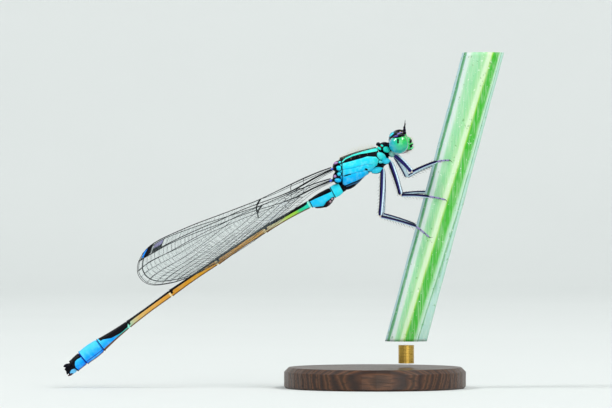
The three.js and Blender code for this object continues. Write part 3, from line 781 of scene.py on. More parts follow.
# The height to which the black of the back reaches down the side, as [joint, mm past it, height]
BLACK_BACK = [
    (0, -0.6, 1.2), (1, -0.02, 1.2), (1, 0.03, 0.2), (1, 0.9, 0.3), (2, -0.15, 0.5), (2, -0.01, 0.5),
    (2, 0, 0.9), (2, 0.16, 0.9), (2, 0.22, 0.3), (2, 0.6, 0.16), (3, -1, 0.1), (3, -0.3, 0.3), (3, 0, 0.3),
    (3, 0.4, 0.36), (6, -1, 0.36), (6, -0.01, 0.3), (6, 0, 1.2), (10, 0, 1.2),
]
# Its colours along its length, as [joint, mm past it, colour], and those of the tail from belly to back
ABDOMEN_TONES = [
    (0, 0, "#2ae4f4"), (2, -0.1, "#14c4fc"), (2, 0.15, "#22d8c0"), (2, 0.9, "#30cc88"), (2, 1.3, "#9cd42c"),
    (2, 2.1, "#b4d44c"), (2, 2.6, "#cfd0a0"), (3, -0.2, "#d0bc90"), (3, 0.4, "#dcaa5c"), (3, 2.6, "#e0a23c"),
    (4, -0.3, "#d09a58"), (4, 1.4, "#e0a22c"), (5, -0.2, "#d4922c"), (5, 1.6, "#dca24a"), (5, 3, "#d8ac5c"),
    (6, -0.3, "#b8c49c"), (6, 0.2, "#58ccb4"), (6, 0.9, "#20bcc0"), (6, 1.5, "#0c9cf6"), (10, 0, "#0ea6fc"),
]
# The tail's own blue, darker towards the belly as painted shade and paler towards the back as painted light
TAIL_LIGHT_AND_SHADE = [(0, "#0670f0"), (0.35, "#04a4ff"), (0.75, "#40ccff")]
# Markings of the last four segments in pixels of the photograph
SEVENTH_BLACK = [
    (128.2, 320.5), (127.8, 327), (126.3, 328.3), (123.5, 330.8), (120.5, 333.2), (115.6, 335.8),
    (111.5, 338), (107.3, 338.7), (103.2, 339.4), (101, 340.8), (99, 339.6), (95, 334), (112, 322),
    (126, 314),
]
NINTH_BLUE = [
    (83.2, 351), (81.7, 355.2), (80.6, 357.6), (77.4, 359.2), (75.4, 361.4), (75.2, 364.6), (76, 367.2),
    (78.2, 369.4), (84, 376), (95, 366), (92, 350),
]
TENTH_BLUE = [(70.2, 372.2), (71.4, 369.8), (74, 368.6), (77.2, 368.8), (78.2, 370.6), (77, 376), (71, 377)]


def abdomen_middle(at):
    places = joint_places()
    line = np.stack([through(STARTS, places[:, 0], at), 0 * at, through(STARTS, places[:, 2], at)], -1)
    return line + np.minimum(at, 0)[:, None] * fall_way(SEGMENTS[0][1])[0]


def abdomen_marks(at, h, deep, n, side):
    """How far inside each marking a point lies, in mm; h is its height, from -1 below to 1 above."""
    since = at - STARTS[n]
    left = STARTS[n + 1] - at
    joint, past, height = np.array(BLACK_BACK).T
    back = (h - np.interp(at, STARTS[joint.astype(int)] + past, height)) * deep
    slim = (n >= 2) & (n <= 5)
    tail = n >= 7
    # A dark collar ends each slim segment, fed by a dark wedge from the back; a cream ring starts the next.
    ring = np.where(slim, np.minimum(0.17 - left, (h + 0.3) * deep), np.where(tail, -1, 0.075 - left))
    wedge = np.where(slim, (h - 0.05) * deep - 0.9 * np.maximum(0, left - 0.17), -1.0)
    patches = np.where(n == 6, inside(SEVENTH_BLACK, side), -1.0)
    patches = np.where(n == 8, -inside(NINTH_BLUE, side), patches)
    patches = np.where(n == 9, -inside(TENTH_BLUE, side), patches)
    return {
        "back": np.maximum(back, patches), "ring": np.maximum(ring, wedge), "neck": 0.05 - at,
        "cream": np.where((n >= 3) & (n <= 5), 0.16 - since, -1.0),
        "mint": np.where((n == 2) | (n == 6), 0.17 - since, -1.0),
        "blue_ring": np.maximum(
            np.where(tail & (n < 9), 0.05 - since, -1), np.where(n == 7, 0.06 - left, -1),
        ),
        "flap": np.where(n == 7, 0.03 - np.abs(h + 0.62) * deep, -1.0),
        "belly": np.where(n <= 1, -1, np.where(n <= 6, (-0.7 - h) * deep, (-0.9 - h) * deep)),
        "spot": np.where(n == 9, inside(TENTH_BLUE, side), -1.0),
    }


def share_along(joint, past=0.0):
    """How far along the whole abdomen a place lies that is past mm behind a joint."""
    return (STARTS[joint] + past) / STARTS[-1]


def abdomen_paint(s):
    stops = [(share_along(joint, past), code) for joint, past, code in ABDOMEN_TONES]
    along = s.ramp(s.field("at"), stops)
    tail = s.between(s.field("at"), share_along(6, 1.2), share_along(7))
    # The tail's blue with painted shade below and painted light above.
    lit = s.ramp(s.between(s.field("height"), -1, 1), TAIL_LIGHT_AND_SHADE)
    lit = s.mix(s.between(s.noise(2.2), 0.5, 0.72, (0.0, 0.45)), lit, "#6cdcff")
    return s.mix(tail, along, lit)


def abdomen():
    cols = 48
    at, half, deep, n = abdomen_rings()
    sunk = np.linspace(-ABDOMEN_SUNK, -0.06, 8)
    closing = np.sqrt(1 - (sunk / ABDOMEN_SUNK * 0.95) ** 2)
    at, n = np.append(sunk, at), np.append(0 * sunk, n).astype(int)
    half, deep = (np.append(closing * size[0], size) for size in (half, deep))
    middle = abdomen_middle(at)
    one, two = frames(middle)
    up = two * np.sign(two[:, 2:])
    a = turns(cols)[None, :, None]
    across = half[:, None, None] * rounded(np.cos(a), ABDOMEN_POWER)
    share = np.where(n == 1, (at - STARTS[1]) / LENGTHS[1], 0)
    swell = SECOND_BULGE * (ease(share, 0.15, 0.55) * ease(-share, -1, -0.65))[:, None, None]
    rise = deep[:, None, None] * rounded(np.sin(a), ABDOMEN_POWER) + swell * np.minimum(0, np.sin(a))
    points, faces = skin(middle[:, None] + across * one[:, None] + rise * up[:, None])
    row = np.concatenate([np.repeat(np.arange(len(at)), cols), [0, len(at) - 1]])
    h = np.einsum("ij,ij->i", points - middle[row], up[row]) / deep[row]
    fields = abdomen_marks(at[row], h, deep[row], n[row], points[:, [0, 2]])
    fields["at"] = at[row] / STARTS[-1]
    fields["height"] = h
    marks = (
        ("belly", "#6a4420"), ("spot", "#6cc4f4"), ("cream", "#f2dfa8"), ("mint", "#96f0dc"),
        ("flap", "#0430a8"), ("back", BLACK), ("ring", BLACK), ("blue_ring", "#0424a0"), ("neck", BLACK),
    )
    names = [f"abdomen_s{k}" for k in range(1, 11)]
    look = shell("abdomen_shell", abdomen_paint, marks, bloom="#a8e0d0", mottling=0.16)
    piece("abdomen_skin", points, faces, look, fields, names)


# The swelling under the second segment: pixels, half length, width and height in mm, and tilt
MATING_LOBES = [
    ((332, 199), 0.24, 0.4, 0.16, 50), ((330.4, 201.4), 0.22, 0.44, 0.17, 56),
    ((328, 203), 0.28, 0.42, 0.22, 50), ((326.4, 205.2), 0.24, 0.36, 0.15, 30),
    ((320.8, 207.1), 0.46, 0.24, 0.08, 6),
]
# Its pale spots, painted highlights, by pixel, and their radius in mm; and its browns
MATING_HIGHLIGHTS = [(330.3, 201.5), (332.2, 198.9)]
MATING_HIGHLIGHT_RADIUS = 0.085
MATING_TONES = [(0.36, "#08050a"), (0.54, "#2a1018"), (0.64, "#6a2c38"), (0.72, "#140a0e")]
# The last segment's forked hump and two pairs of claspers, as [along, up, outward, radius]
CLASPERS = [
    [(0.1, 0.2, 0.12, 0.2), (0.3, 0.4, 0.14, 0.16), (0.46, 0.49, 0.16, 0.11), (0.56, 0.52, 0.17, 0.05)],
    [(0.2, 0.06, 0.16, 0.17), (0.42, 0.05, 0.2, 0.15), (0.62, 0.0, 0.19, 0.13), (0.78, -0.1, 0.14, 0.05)],
    [(0.2, -0.18, 0.14, 0.16), (0.44, -0.24, 0.16, 0.14), (0.64, -0.26, 0.18, 0.1), (0.82, -0.2, 0.2, 0.04)],
]


def mating_organ():
    lobes = [spot_lump(*row) for row in MATING_LOBES]
    points, faces = melted([ellipsoid(lobe) for lobe in lobes], voxel=0.02, passes=3)
    from_pale = [np.linalg.norm(points[:, [0, 2]] - plane(spot), axis=1) for spot in MATING_HIGHLIGHTS]
    fields = {
        "crease": crease(np.array([beyond(lobe, points) for lobe in lobes]), width=0.035),
        # The pale spots are painted highlights on the dark lobes.
        "pale": MATING_HIGHLIGHT_RADIUS - np.min(from_pale, axis=0),
    }
    marks = (("pale", "#b0949e"), ("crease", BLACK))
    look = shell("mating_organ_shell", lambda s: s.ramp(s.noise(3.0), MATING_TONES), marks, bloom="#3a1820")
    piece("mating_organ", points, faces, look, fields, ())


def claspers():
    start = joint_places()[9]
    along, up = fall_way(SEGMENTS[9][1])
    count = 16
    closing = np.sqrt(np.sin(np.linspace(0.25, math.pi * 0.92, count)))
    forms = []
    for rows in CLASPERS:
        rows = np.array(rows)
        knots, t = np.linspace(0, 1, len(rows)), np.linspace(0, 1, count)
        far, rise, out, r = (through(knots, rows[:, k], t) for k in range(4))
        for side in SIDES.values():
            path = start + np.outer(far, along) + np.outer(rise, up) + np.outer(side * out, (0, 1, 0))
            forms.append(skin(tube_rings(path, r * closing, 16)))
    points, faces = melted(forms, voxel=0.02, passes=2)
    tip = (points - start) @ along
    low = (points - start) @ up
    fields = {"pale": np.minimum(tip - 0.45, -0.12 - low)}
    look = shell("clasper_shell", clouded(6.0, BLACK, "#141020"), (("pale", "#4a3038"),), bloom=DARK_BLOOM)
    piece("tail_claspers", points, faces, look, fields, ())


synthorax()
prothorax()
abdomen()
mating_organ()
claspers()


# Head, in its own frame: its centre, its roll towards the camera, and the rounded parts it is made of
HEAD = np.array([1.8, 0.0, 18.92])
HEAD_ROLL = math.radians(10)
HEAD_CORE = np.array([0.2, 0.0, -0.06])
HEAD_PARTS = [
    ((-0.06, 0, 0), (0.56, 1.12, 0.62), 0), ((-0.27, 0, 0.35), (0.45, 0.96, 0.45), 0),
    ((0.1, 0, 0.36), (0.46, 0.8, 0.42), 0), ((0.54, 0, 0.06), (0.5, 0.62, 0.36), 0),
    ((0.78, 0, -0.14), (0.36, 0.46, 0.22), -8), ((0.74, 0, -0.4), (0.42, 0.48, 0.24), -12),
    ((0.4, 0, -0.66), (0.42, 0.42, 0.22), 14),
]
OCELLI = [(0.3, 0), (0.14, 0.17), (0.14, -0.17)]
# The heights of the grooves across the face, and how wide they are
BROW_GROOVE, LIP_GROOVE, MOUTH, CROWN_GROOVE = 0.0, -0.27, -0.58, 0.52
FACE_GROOVE = 0.035
HEAD_GREENS = [(0, "#10cc80"), (0.5, "#14cc58"), (1, "#48dc68")]
# Markings of the head in pixels of the photograph, those of the eye as the near one shows them
EYE_CAP = [
    (384, 137.6), (389, 138), (392.7, 138.5), (397.1, 138.3), (401.6, 137.2), (405.9, 136), (408.5, 134.5),
    (408, 126), (384, 126),
]
EYE_SHEEN = [(393.2, 137.3), (393.8, 135.9), (396.2, 135.3), (397.8, 135.8), (397, 137)]
NEAR_SPOT = [(388.2, 136.6), (388.8, 134.2), (391, 133), (394, 132.8), (392.9, 134.4), (390, 136.8)]
FAR_SPOT = [(391.6, 133), (392.6, 130.6), (395.6, 128), (398, 129.6), (397, 131.2), (394.4, 131.6)]
TOP_SHEEN = [(396.8, 134), (399.4, 132.6), (402.4, 131.9), (402.6, 132.6), (399.8, 133.4), (397.2, 134.6)]
BROW_DOT = [(409, 139.4), (411.4, 139), (412.6, 140.6), (411.4, 141.8), (409.4, 141.6)]
LIP_BAR = [(409.2, 146.6), (409.4, 145.4), (411.4, 144), (413.6, 143.6), (413.4, 145.2), (411.4, 146)]


def on_head(points):
    """Points of the head's own frame in the insect's."""
    p = np.asarray(points, float)
    c, s = math.cos(HEAD_ROLL), math.sin(HEAD_ROLL)
    rolled = np.stack([p[..., 0], p[..., 1] * c - p[..., 2] * s, p[..., 1] * s + p[..., 2] * c], -1)
    return rolled + HEAD


def reach_of_head(ways):
    """How far the head's surface lies from its core each way: a smooth union of its parts."""
    sharp = 18.0
    reaches = []
    for centre, radii, tilt in HEAD_PARTS:
        start = turned(HEAD_CORE - centre, -tilt) / radii
        way = turned(ways, -tilt) / radii
        a, b, k = (way**2).sum(-1), way @ start, (start**2).sum() - 1
        root = b * b - a * k
        reaches.append(np.where(root > 0, (-b + np.sqrt(np.maximum(root, 0))) / a, 0.05))
    return np.log(sum(np.exp(sharp * r) for r in reaches)) / sharp


def face_grooves(x, y, z):
    """How deep the face is sunk along the brow, the lips, the mouth, the crown and its middle."""
    sunk = 0
    for at, depth in (
        (BROW_GROOVE + 0.08 * y * y, 0.05), (LIP_GROOVE + 0.12 * y * y, 0.06),
        (MOUTH + 0.1 * (x - 0.8), 0.12), (CROWN_GROOVE, 0.05),
    ):
        sunk = sunk + depth * np.exp(-(((z - at) / FACE_GROOVE) ** 2))
    middle = 0.05 * np.exp(-((y / 0.05) ** 2)) * (z > 0.2) * ease(-x, -0.2, 0.1)
    return sunk * ease(x, 0.35, 0.65) + middle


def head_fields(points):
    """The head's markings, more than 0 inside; those of brow and lip are mirrored to the far side."""
    x, y, z = points.T
    seen = on_head(points)[:, [0, 2]]
    mirrored = on_head(points * [1, -1, 1])[:, [0, 2]]
    brow, lip_line = (np.maximum(inside(p, seen), inside(p, mirrored)) for p in (BROW_DOT, LIP_BAR))
    spots = np.maximum(np.minimum(inside(NEAR_SPOT, seen), -y), np.minimum(inside(FAR_SPOT, seen), y))
    from_mouth = z - MOUTH - 0.1 * (x - 0.8)
    from_ocelli = np.min([np.hypot(x - ox, y - oy) for ox, oy in OCELLI], axis=0)
    return {
        "top": z - 0.42,
        "spot": np.minimum(spots, z - 0.3),
        "sheen": np.minimum(inside(TOP_SHEEN, seen), z - 0.4),
        "brow": brow,
        "lip_line": lip_line,
        "mouth": np.minimum(0.045 - np.abs(from_mouth), x - 0.3),
        "labium": np.minimum(-from_mouth, x - 0.02),
        "behind": -0.26 - x - 0.3 * np.maximum(0, z - 0.2),
        "ocelli": np.where(z > 0.4, 0.055 - from_ocelli, -1),
        "front": x,
    }


def head_paint(s):
    return s.ramp(s.between(s.field("front"), 0.2, 1.1), HEAD_GREENS)


def head():
    polar = np.linspace(0.02, math.pi - 0.02, 130)[:, None]
    a = turns(170)[None]
    ways = np.stack([np.sin(polar) * np.cos(a), -np.cos(polar) + 0 * a, np.sin(polar) * np.sin(a)], -1)
    local = HEAD_CORE + ways * reach_of_head(ways)[..., None]
    x, y, z = np.moveaxis(local, -1, 0)
    local = local - ways * face_grooves(x, y, z)[..., None]
    for ox, oy in OCELLI:
        local[..., 2] += 0.06 * np.exp(-(((x - ox) ** 2 + (y - oy) ** 2) / 0.06**2)) * (z > 0.4)
    points, faces = skin(local)
    marks = (
        ("behind", "#0e2430"), ("labium", "#b49aa4"), ("top", BLACK), ("brow", BLACK), ("lip_line", BLACK),
        ("mouth", "#1c0c10"), ("sheen", "#8a7ccc"), ("spot", "#34dcf0"), ("ocelli", "#c9b48a"),
    )
    look = shell("head_shell", head_paint, marks)
    piece("head_skin", on_head(points), faces, look, head_fields(points), ("head",))
    fuzz_of_face()


def fuzz_of_face():
    """Short pale hairs on the brow, the lips and the cheeks."""
    count = 170
    polar = rng.uniform(0.85, math.pi - 0.85, count)
    a = rng.uniform(-1.15, 0.9, count)
    ways = np.stack([np.sin(polar) * np.cos(a), -np.cos(polar), np.sin(polar) * np.sin(a)], -1)
    roots = HEAD_CORE + ways * (reach_of_head(ways)[:, None] - 0.02)
    lean = ways + [0.35, 0, 0.1] + rng.normal(0, 0.25, (count, 3))
    spots = np.stack([polar / math.pi, (a + math.pi) / (2 * math.pi)], -1)
    points, faces, uv = hairs(roots, lean, rng.uniform(0.14, 0.34, count), width=0.012, root_uv=spots)
    piece("face_hair", on_head(points), faces, hair_look("face_hair"), None, (), uv=uv)


def hair_look(name):
    return two_tone(name, 4.0, "#c2bc9c", "#eae6d2", Roughness=0.5, Specular_IOR_Level=0.3).mat


# An eye: how far out its middle lies, its half sizes, and how far in from its middle it is cut off
EYE_OUT = 1.1
EYE_RADII = np.array([0.75, 0.78, 0.73])
EYE_INNER = 0.46
# How much taller its upper half is, and how far its top leans ahead
EYE_TALLER = 0.1
EYE_LEAN = 0.12
# The dark upright bar in it: its middle, and its half width and half height
PUPIL = (-0.07, 0.36)
PUPIL_SIZE = (0.07, 0.11)
# Its colours from rear to front
EYE_TONES = [(0, "#0cacdc"), (0.2, "#0cc4d0"), (0.45, "#08d090"), (0.7, "#0ccc58"), (1, "#1cc044")]


def eye_form():
    """The eye's own surface round its middle, as an eye that looks towards +Y."""
    polar = np.linspace(0.01, math.pi - 0.01, 90)[:, None]
    a = turns(120)[None]
    way = np.stack([np.sin(polar) * np.cos(a), np.cos(polar) + 0 * a, np.sin(polar) * np.sin(a)], -1)
    local = way * EYE_RADII
    local[..., 1] = np.maximum(local[..., 1], -EYE_INNER)
    upper = np.maximum(0, way[..., 2])
    local[..., 2] *= 1 + EYE_TALLER * upper
    local[..., 0] += EYE_LEAN * upper**2
    return local


def eye_fields(local):
    """The eye's markings, both eyes' as the near one shows them."""
    points, _ = skin(local)
    x, y, z = points.T
    seen = on_head(np.stack([x, -EYE_OUT - y, z], -1))[:, [0, 2]]
    wide, high = PUPIL_SIZE
    from_pupil = np.hypot(x - PUPIL[0], np.maximum(0, np.abs(z - PUPIL[1]) - high))
    cap = inside(EYE_CAP, seen)
    pupil = np.where(y > 0.2, wide - from_pupil, -1)
    return {
        "cap": cap, "sheen": inside(EYE_SHEEN, seen), "pupil": pupil, "dull": np.maximum(cap, pupil),
        "ahead": x + 0.3 * z, "rise": z - 0.5 * x,
    }


def eye_look(name):
    """A glossy lens with fine facets, dull where it is black."""
    s = Shade(name + "_lens", IOR=1.5, Roughness=0.2, Coat_Roughness=0.12)
    hue = s.ramp(s.between(s.field("ahead"), -0.75, 0.75), EYE_TONES)
    hue = s.mix(s.between(s.field("rise"), -0.75, 0.15, (0.7, 0.0)), hue, "#0c98c0")
    hue = s.mix(s.between(s.noise(3.0, 2.0), 0.45, 0.75, (0.0, 0.3)), hue, "#3ce4a8")
    facets = s.cells(26.0)
    hue = s.mix(s.between(facets, 0.25, 0.6, (0.0, 0.2)), hue, "#063434")
    for field, ink in (("cap", BLACK), ("sheen", "#4a2c94"), ("pupil", "#010403")):
        hue = s.mark(hue, field, ink, 0.02)
    dull = s.between(s.field("dull"), -0.02, 0.02)
    gloss = s.between(dull, 0, 1, (0.5, 0.05))
    coat = s.between(dull, 0, 1, (0.8, 0.1))
    s.set(Base_Color=hue, Specular_IOR_Level=gloss, Coat_Weight=coat)
    return s.bump(facets, 0.003).mat


def eye(name):
    local = eye_form()
    out = SIDES[name] * (EYE_OUT + local[..., 1])
    points, faces = skin(np.stack([local[..., 0], out, local[..., 2]], -1))
    dome, replaced = f"eye_{name}_dome", ("eye_" + name,)
    piece(dome, on_head(points), faces, eye_look(name), eye_fields(local), replaced)


# An antenna: places along it in mm, its radius at each, and its two joints
ANTENNA_ALONG = [0, 0.03, 0.08, 0.16, 0.22, 0.24, 0.28, 0.36, 0.42, 0.45, 0.52, 0.62, 0.72, 0.82, 0.92]
ANTENNA_RADIUS = [
    0.11, 0.135, 0.135, 0.12, 0.1, 0.08, 0.095, 0.09, 0.075, 0.045, 0.036, 0.03, 0.024, 0.018, 0.009,
]
ANTENNA_JOINTS = (0.235, 0.445)
ANTENNA_ROOT = (0.46, 0.44, 0.7)


def antenna(name):
    side = SIDES[name]
    along = np.array(ANTENNA_ALONG)
    bend = np.outer(along, (-0.02, side * 0.2, 1)) + np.outer(along**2, (0.12, side * 0.1, 0))
    path = on_head(np.multiply(ANTENNA_ROOT, (1, side, 1)) + bend)
    points, faces = skin(tube_rings(path, ANTENNA_RADIUS, 14))
    at = np.concatenate([np.repeat(along, 14), [0, along[-1]]])
    from_joint = np.min([np.abs(at - joint) for joint in ANTENNA_JOINTS], axis=0)
    fields = {"tip": at - 0.5, "joint": 0.02 - from_joint}
    whole = "antenna_" + name
    marks = (("joint", "#3c3850"), ("tip", "#1e1c1c"))
    look = shell(whole + "_shell", clouded(6.0, BLACK, "#16121f"), marks, ANTENNA_ROUGHNESS, DARK_BLOOM)
    piece(whole + "_lash", points, faces, look, fields, (whole,))


def thorax_fuzz():
    """Fine pale hairs that stand on the front of the back."""
    count = 300
    along = rng.uniform(-1.45, 1.5, count)
    turn = math.pi / 2 + rng.normal(0, 0.4, count)
    belly, back, half = thorax_form(along)
    middle = (belly + back) / 2
    y = half * rounded(np.cos(turn), THORAX_POWER)
    rise = middle + (back - middle) * rounded(np.sin(turn), THORAX_POWER)
    x, z = thorax_place(along, rise)
    lean = turned(np.stack([rng.normal(0.1, 0.3, count), 1.1 * y, 1.2 + 0 * y], -1), THORAX_PITCH)
    lean = lean + rng.normal(0, 0.15, (count, 3))
    lengths = rng.uniform(0.25, 0.8, count) * (0.6 + 0.4 * np.cos((along - 0.2) * 1.2))
    spots = np.stack([(along + 1.75) / 3.5, (turn % (2 * math.pi)) / (2 * math.pi)], -1)
    roots = np.stack([x, y, z], -1)
    points, faces, uv = hairs(roots, lean, lengths, width=0.009, root_uv=spots, droop=0.08)
    piece("thorax_fuzz", points, faces, hair_look("thorax_hair"), None, (), uv=uv)


# How light a thigh is painted, from -1 to 1, against how far its surface faces away from its dark side
STRIPED_THIGH = (
    [-1, -0.95, -0.88, -0.72, -0.6, 0, 0.1, 0.5, 0.6, 1],
    [-0.24, -0.1, 0.1, 0.14, 0.4, 0.5, -0.2, -0.2, 0.3, 0.45],
)
HALVED_THIGH = ([-1, 1], [-0.96, 1.04])
# Legs: each joint as [x, outward, z], and the dark side and the shading of the thigh
LEGS = {
    "foreleg": {
        "coxa": (1.1, 0.28, 18.1), "hip": (1.54, 0.42, 17.9),
        "dark": (-0.21, 0.95, -0.21), "thigh": STRIPED_THIGH,
        "right": [(2.82, 1.5, 16.6), (4.72, 1.62, 17.4), (5.66, 1.5, 17.5)],
        "left": [(2.5, 1.5, 16.26), (4.62, 1.62, 17.25), (5.5, 1.5, 17.32)],
    },
    "midleg": {
        "coxa": (0.5, 0.42, 17.52), "hip": (1.17, 0.66, 17.4),
        "dark": (-1, 0, 0), "thigh": HALVED_THIGH,
        "right": [(1.96, 1.7, 14.82), (4.1, 1.68, 14.72), (5.34, 1.54, 14.48)],
        "left": [(2.04, 1.7, 14.92), (4.1, 1.68, 15.06), (5.2, 1.54, 15.0)],
    },
    "hindleg": {
        "coxa": (-0.26, 0.36, 16.64), "hip": (0.6, 0.5, 16.84),
        "dark": (-1, 0, 0), "thigh": HALVED_THIGH,
        "right": [(0.38, 1.75, 13.2), (3.1, 1.6, 12.44), (4.12, 1.5, 11.62)],
        "left": [(0.6, 1.75, 13.36), (3.1, 1.6, 12.56), (4.2, 1.5, 11.9)],
    },
}
COXA_R, FEMUR_R, TIBIA_R, TARSUS_R, CLAW_R = 0.26, 0.21, 0.12, 0.085, 0.035
COXA_DARK = (0, 0, -1)
COXA, THIGH, SHIN, FOOT, CLAW = range(5)
# How thick the thigh and the shin are at shares of their length, and a joint of the foot along it
THIGH_SHAPE = ([0, 0.04, 0.1, 0.4, 0.8, 0.93, 1], [0.55, 0.85, 1, 1, 0.84, 0.9, 0.5])
SHIN_SHAPE = ([0, 0.04, 0.1, 0.5, 0.94, 1], [0.7, 1.2, 1.05, 0.95, 1, 0.75])
FOOT_SHAPE = np.array([0.6, 0.85, 0.9, 0.85, 0.85, 0.9, 1, 1.05, 0.75])
# Its colours from the dark side to the pale one
# The purple band in the dark side is a painted highlight; the dark rim past the pale side is painted shade
LEG_TONES_AND_LIGHT = [
    (0, "#050512"), (0.24, "#0c0a24"), (0.38, "#2c2470"), (0.5, "#1c1650"), (0.56, "#05050e"),
    (0.61, "#a8c8e4"), (0.75, "#e0f4fc"), (0.9, "#c8e0f0"), (0.95, "#30305c"), (1, "#0a0a18"),
]
COXA_TONES = {"foreleg": "#8cc8bc", "midleg": "#38d0ec", "hindleg": "#38d0ec"}


def leg_tube(path, radius, dark, kind, sides=16):
    """One closed joint of a leg; lit runs from -1 on its dark side to 1 on its pale side."""
    points, faces = skin(tube_rings(path, radius, sides))
    middle = np.vstack([np.repeat(np.asarray(path, float), sides, 0), path[0], path[-1]])
    way = unit(path[-1] - path[0])
    lit = -np.einsum("ij,j->i", unit(points - middle), unit(dark - way * way.dot(dark)))
    return points, faces, {"lit": lit, "kind": float(kind)}


def leg_parts(hip, knee, ankle, toe, coxa, dark, side):
    t = np.linspace(0, 1, 26)
    bow = np.sin(t * math.pi) * 0.05
    bulge = np.sin(np.linspace(0.15, math.pi - 0.1, 14))
    parts = [leg_tube(np.linspace(coxa, hip, 14), COXA_R * (0.35 + 0.65 * bulge), COXA_DARK, COXA, 18)]
    for a, b, radius, shape, shade, kind in (
        (hip, knee, FEMUR_R, THIGH_SHAPE, dark, THIGH),
        (knee, ankle, TIBIA_R, SHIN_SHAPE, (0, 0.3 * side, 1), SHIN),
    ):
        path = a + np.outer(t, b - a) + np.outer(bow, unit(np.cross(b - a, (0, 1, 0))))
        parts.append(leg_tube(path, radius * np.interp(t, *shape), shade, kind))
    joints = np.linspace(ankle, toe, 4) + [[0, 0, 0], [0, 0, 0.03], [0, 0, 0.03], [0, 0, 0]]
    for k, (a, b) in enumerate(zip(joints[:-1], joints[1:])):
        radius = TARSUS_R * (1 - 0.1 * k) * FOOT_SHAPE
        parts.append(leg_tube(np.linspace(a, b, len(FOOT_SHAPE)), radius, (0, 0, 1), FOOT, 12))
    way = unit(toe - ankle)
    down = unit(np.array([1.0, 0, -0.6]) - way * way.dot([1.0, 0, -0.6]))
    bend = np.linspace(0, 1, 9)
    for spread in SIDES.values():
        hook = toe + np.outer(bend, way * 0.22 + [0, spread * 0.1, 0]) + np.outer(bend**2, down * 0.2)
        parts.append(leg_tube(hook, CLAW_R * (1 - 0.85 * bend), down, CLAW, 8))
    return parts, joints


def leg_paint(s):
    # The leg's own dark and pale sides, with a painted highlight and painted shade at its edge.
    return s.ramp(s.between(s.field("lit"), -1, 1), LEG_TONES_AND_LIGHT)


def leg(pair, name):
    side = SIDES[name]
    spec = LEGS[pair]
    flip = np.array([1, side, 1.0])
    coxa, hip, dark = (np.array(spec[k]) * flip for k in ("coxa", "hip", "dark"))
    knee, ankle, toe = (np.array(p) * flip for p in spec[name])
    parts, joints = leg_parts(hip, knee, ankle, toe, coxa, dark, side)
    points, faces, fields = joined(parts)
    kind = fields.pop("kind")
    fields["lit"] = np.where(kind == THIGH, np.interp(fields["lit"], *spec["thigh"]), fields["lit"])
    for field, only in (("coxal", COXA), ("tarsal", FOOT), ("claw", CLAW)):
        fields[field] = np.where(kind == only, 1.0, -1.0)
    from_end = np.min([np.linalg.norm(points - q, axis=1) for q in joints], axis=0)
    from_knee = np.linalg.norm(points - knee, axis=1)
    fields["coxal_edge"] = np.where(kind == COXA, -0.88 - fields["lit"], -1)
    fields["ends"] = np.where(kind == FOOT, 0.075 - from_end, -1)
    fields["knee"] = np.where(kind != FOOT, 0.13 - from_knee, -1)
    marks = (
        ("coxal", COXA_TONES[pair]), ("coxal_edge", BLACK), ("tarsal", "#8f86b4"), ("ends", "#0e0c1e"),
        ("knee", "#d9ccbe"), ("claw", "#0a0810"),
    )
    whole = f"{pair}_{name}"
    look = leg_shell(whole + "_shell", leg_paint, marks)
    piece(whole + "_skin", points, faces, look, fields, (whole,))
    bristles(whole, hip, knee, ankle, toe)


def bristles(name, hip, knee, ankle, toe):
    """Rows of long bristles down the thigh and the shin, and short ones on the foot."""
    roots, ways, lengths, spots = [], [], [], []
    for part, (a, b, r, step, length) in enumerate((
        (hip, knee, FEMUR_R * 0.8, 0.26, 0.3), (knee, ankle, TIBIA_R * 0.8, 0.22, 0.36),
        (ankle, toe, TARSUS_R * 0.7, 0.16, 0.14),
    )):
        span = np.linalg.norm(b - a)
        along = unit(b - a)
        across = unit(np.cross(along, (0, 1, 0)))
        outside = np.cross(along, across)
        for tilt in (-0.75, 0.75, math.pi - 0.6, math.pi + 0.6):
            turn = across * math.cos(tilt) + outside * math.sin(tilt)
            for d in np.arange(0.12 * span, 0.96 * span, step) + rng.uniform(-0.06, 0.06):
                roots.append(a + along * d + turn * r)
                ways.append(turn + along * rng.uniform(0.6, 0.95))
                lengths.append(length * rng.uniform(0.7, 1.15))
                spots.append(((part + d / span) / 3, (tilt % (2 * math.pi)) / (2 * math.pi)))
    points, faces, uv = hairs(roots, ways, lengths, width=0.02, root_uv=spots, droop=0.08)
    look = two_tone(name + "_bristle", 5.0, "#07060c", "#1e1b28", Roughness=0.45).mat
    piece(name + "_bristles", points, faces, look, None, (), uv=uv)


# Wings, drawn in their own plane as [along, across] from the root, across towards the hind edge
FRONT_EDGE = [
    (0, -0.12), (0.9, -0.24), (1.8, -0.32), (3, -0.38), (4.6, -0.42), (6.1, -0.47), (7.7, -0.64), (9, -0.79),
    (11, -1.03), (12.6, -1.16), (14.05, -1.22), (15, -1.12), (15.7, -0.86),
]
OUTER_EDGE = [
    (15.7, -0.86), (16.3, -0.4), (16.64, 0.14), (16.7, 0.6), (16.56, 1.08), (16.2, 1.5), (15.6, 1.82),
    (14.5, 2.16), (13.3, 2.34), (12.2, 2.36),
]
HIND_EDGE = [
    (0, 0.2), (0.85, 0.22), (2.1, 0.4), (3.95, 0.98), (6.15, 1.58), (8.35, 2.02), (10.35, 2.27), (12.2, 2.36),
]
# Each pair of wings: its root, its fall in degrees, its size against the outline, how far out the blade
# and its hinge lie, and the shares of its length between which its spot lies
WINGS = {
    "forewing": {
        "root": (-3.31, 16.85), "fall": 27.3, "scale": 1.013, "outward": 1.32, "hinge": 0.72,
        "stigma": (0.932, 0.985),
    },
    "hindwing": {
        "root": (-3.36, 16.0), "fall": 24.3, "scale": 0.962, "outward": 0.52, "hinge": 0.48,
        "stigma": (0.898, 0.948),
    },
}
# The spot's two colours, its mark's colour and its bloom
STIGMA_TONES = {
    "forewing": (BLACK, "#14121c", "#1c86f0", DARK_BLOOM),
    "hindwing": ("#5c5680", "#8c88ac", "#0c0a14", "#a4a0c0"),
}
WING_LEAN = 0.14
NODUS = 0.372
ARCULUS = 0.18
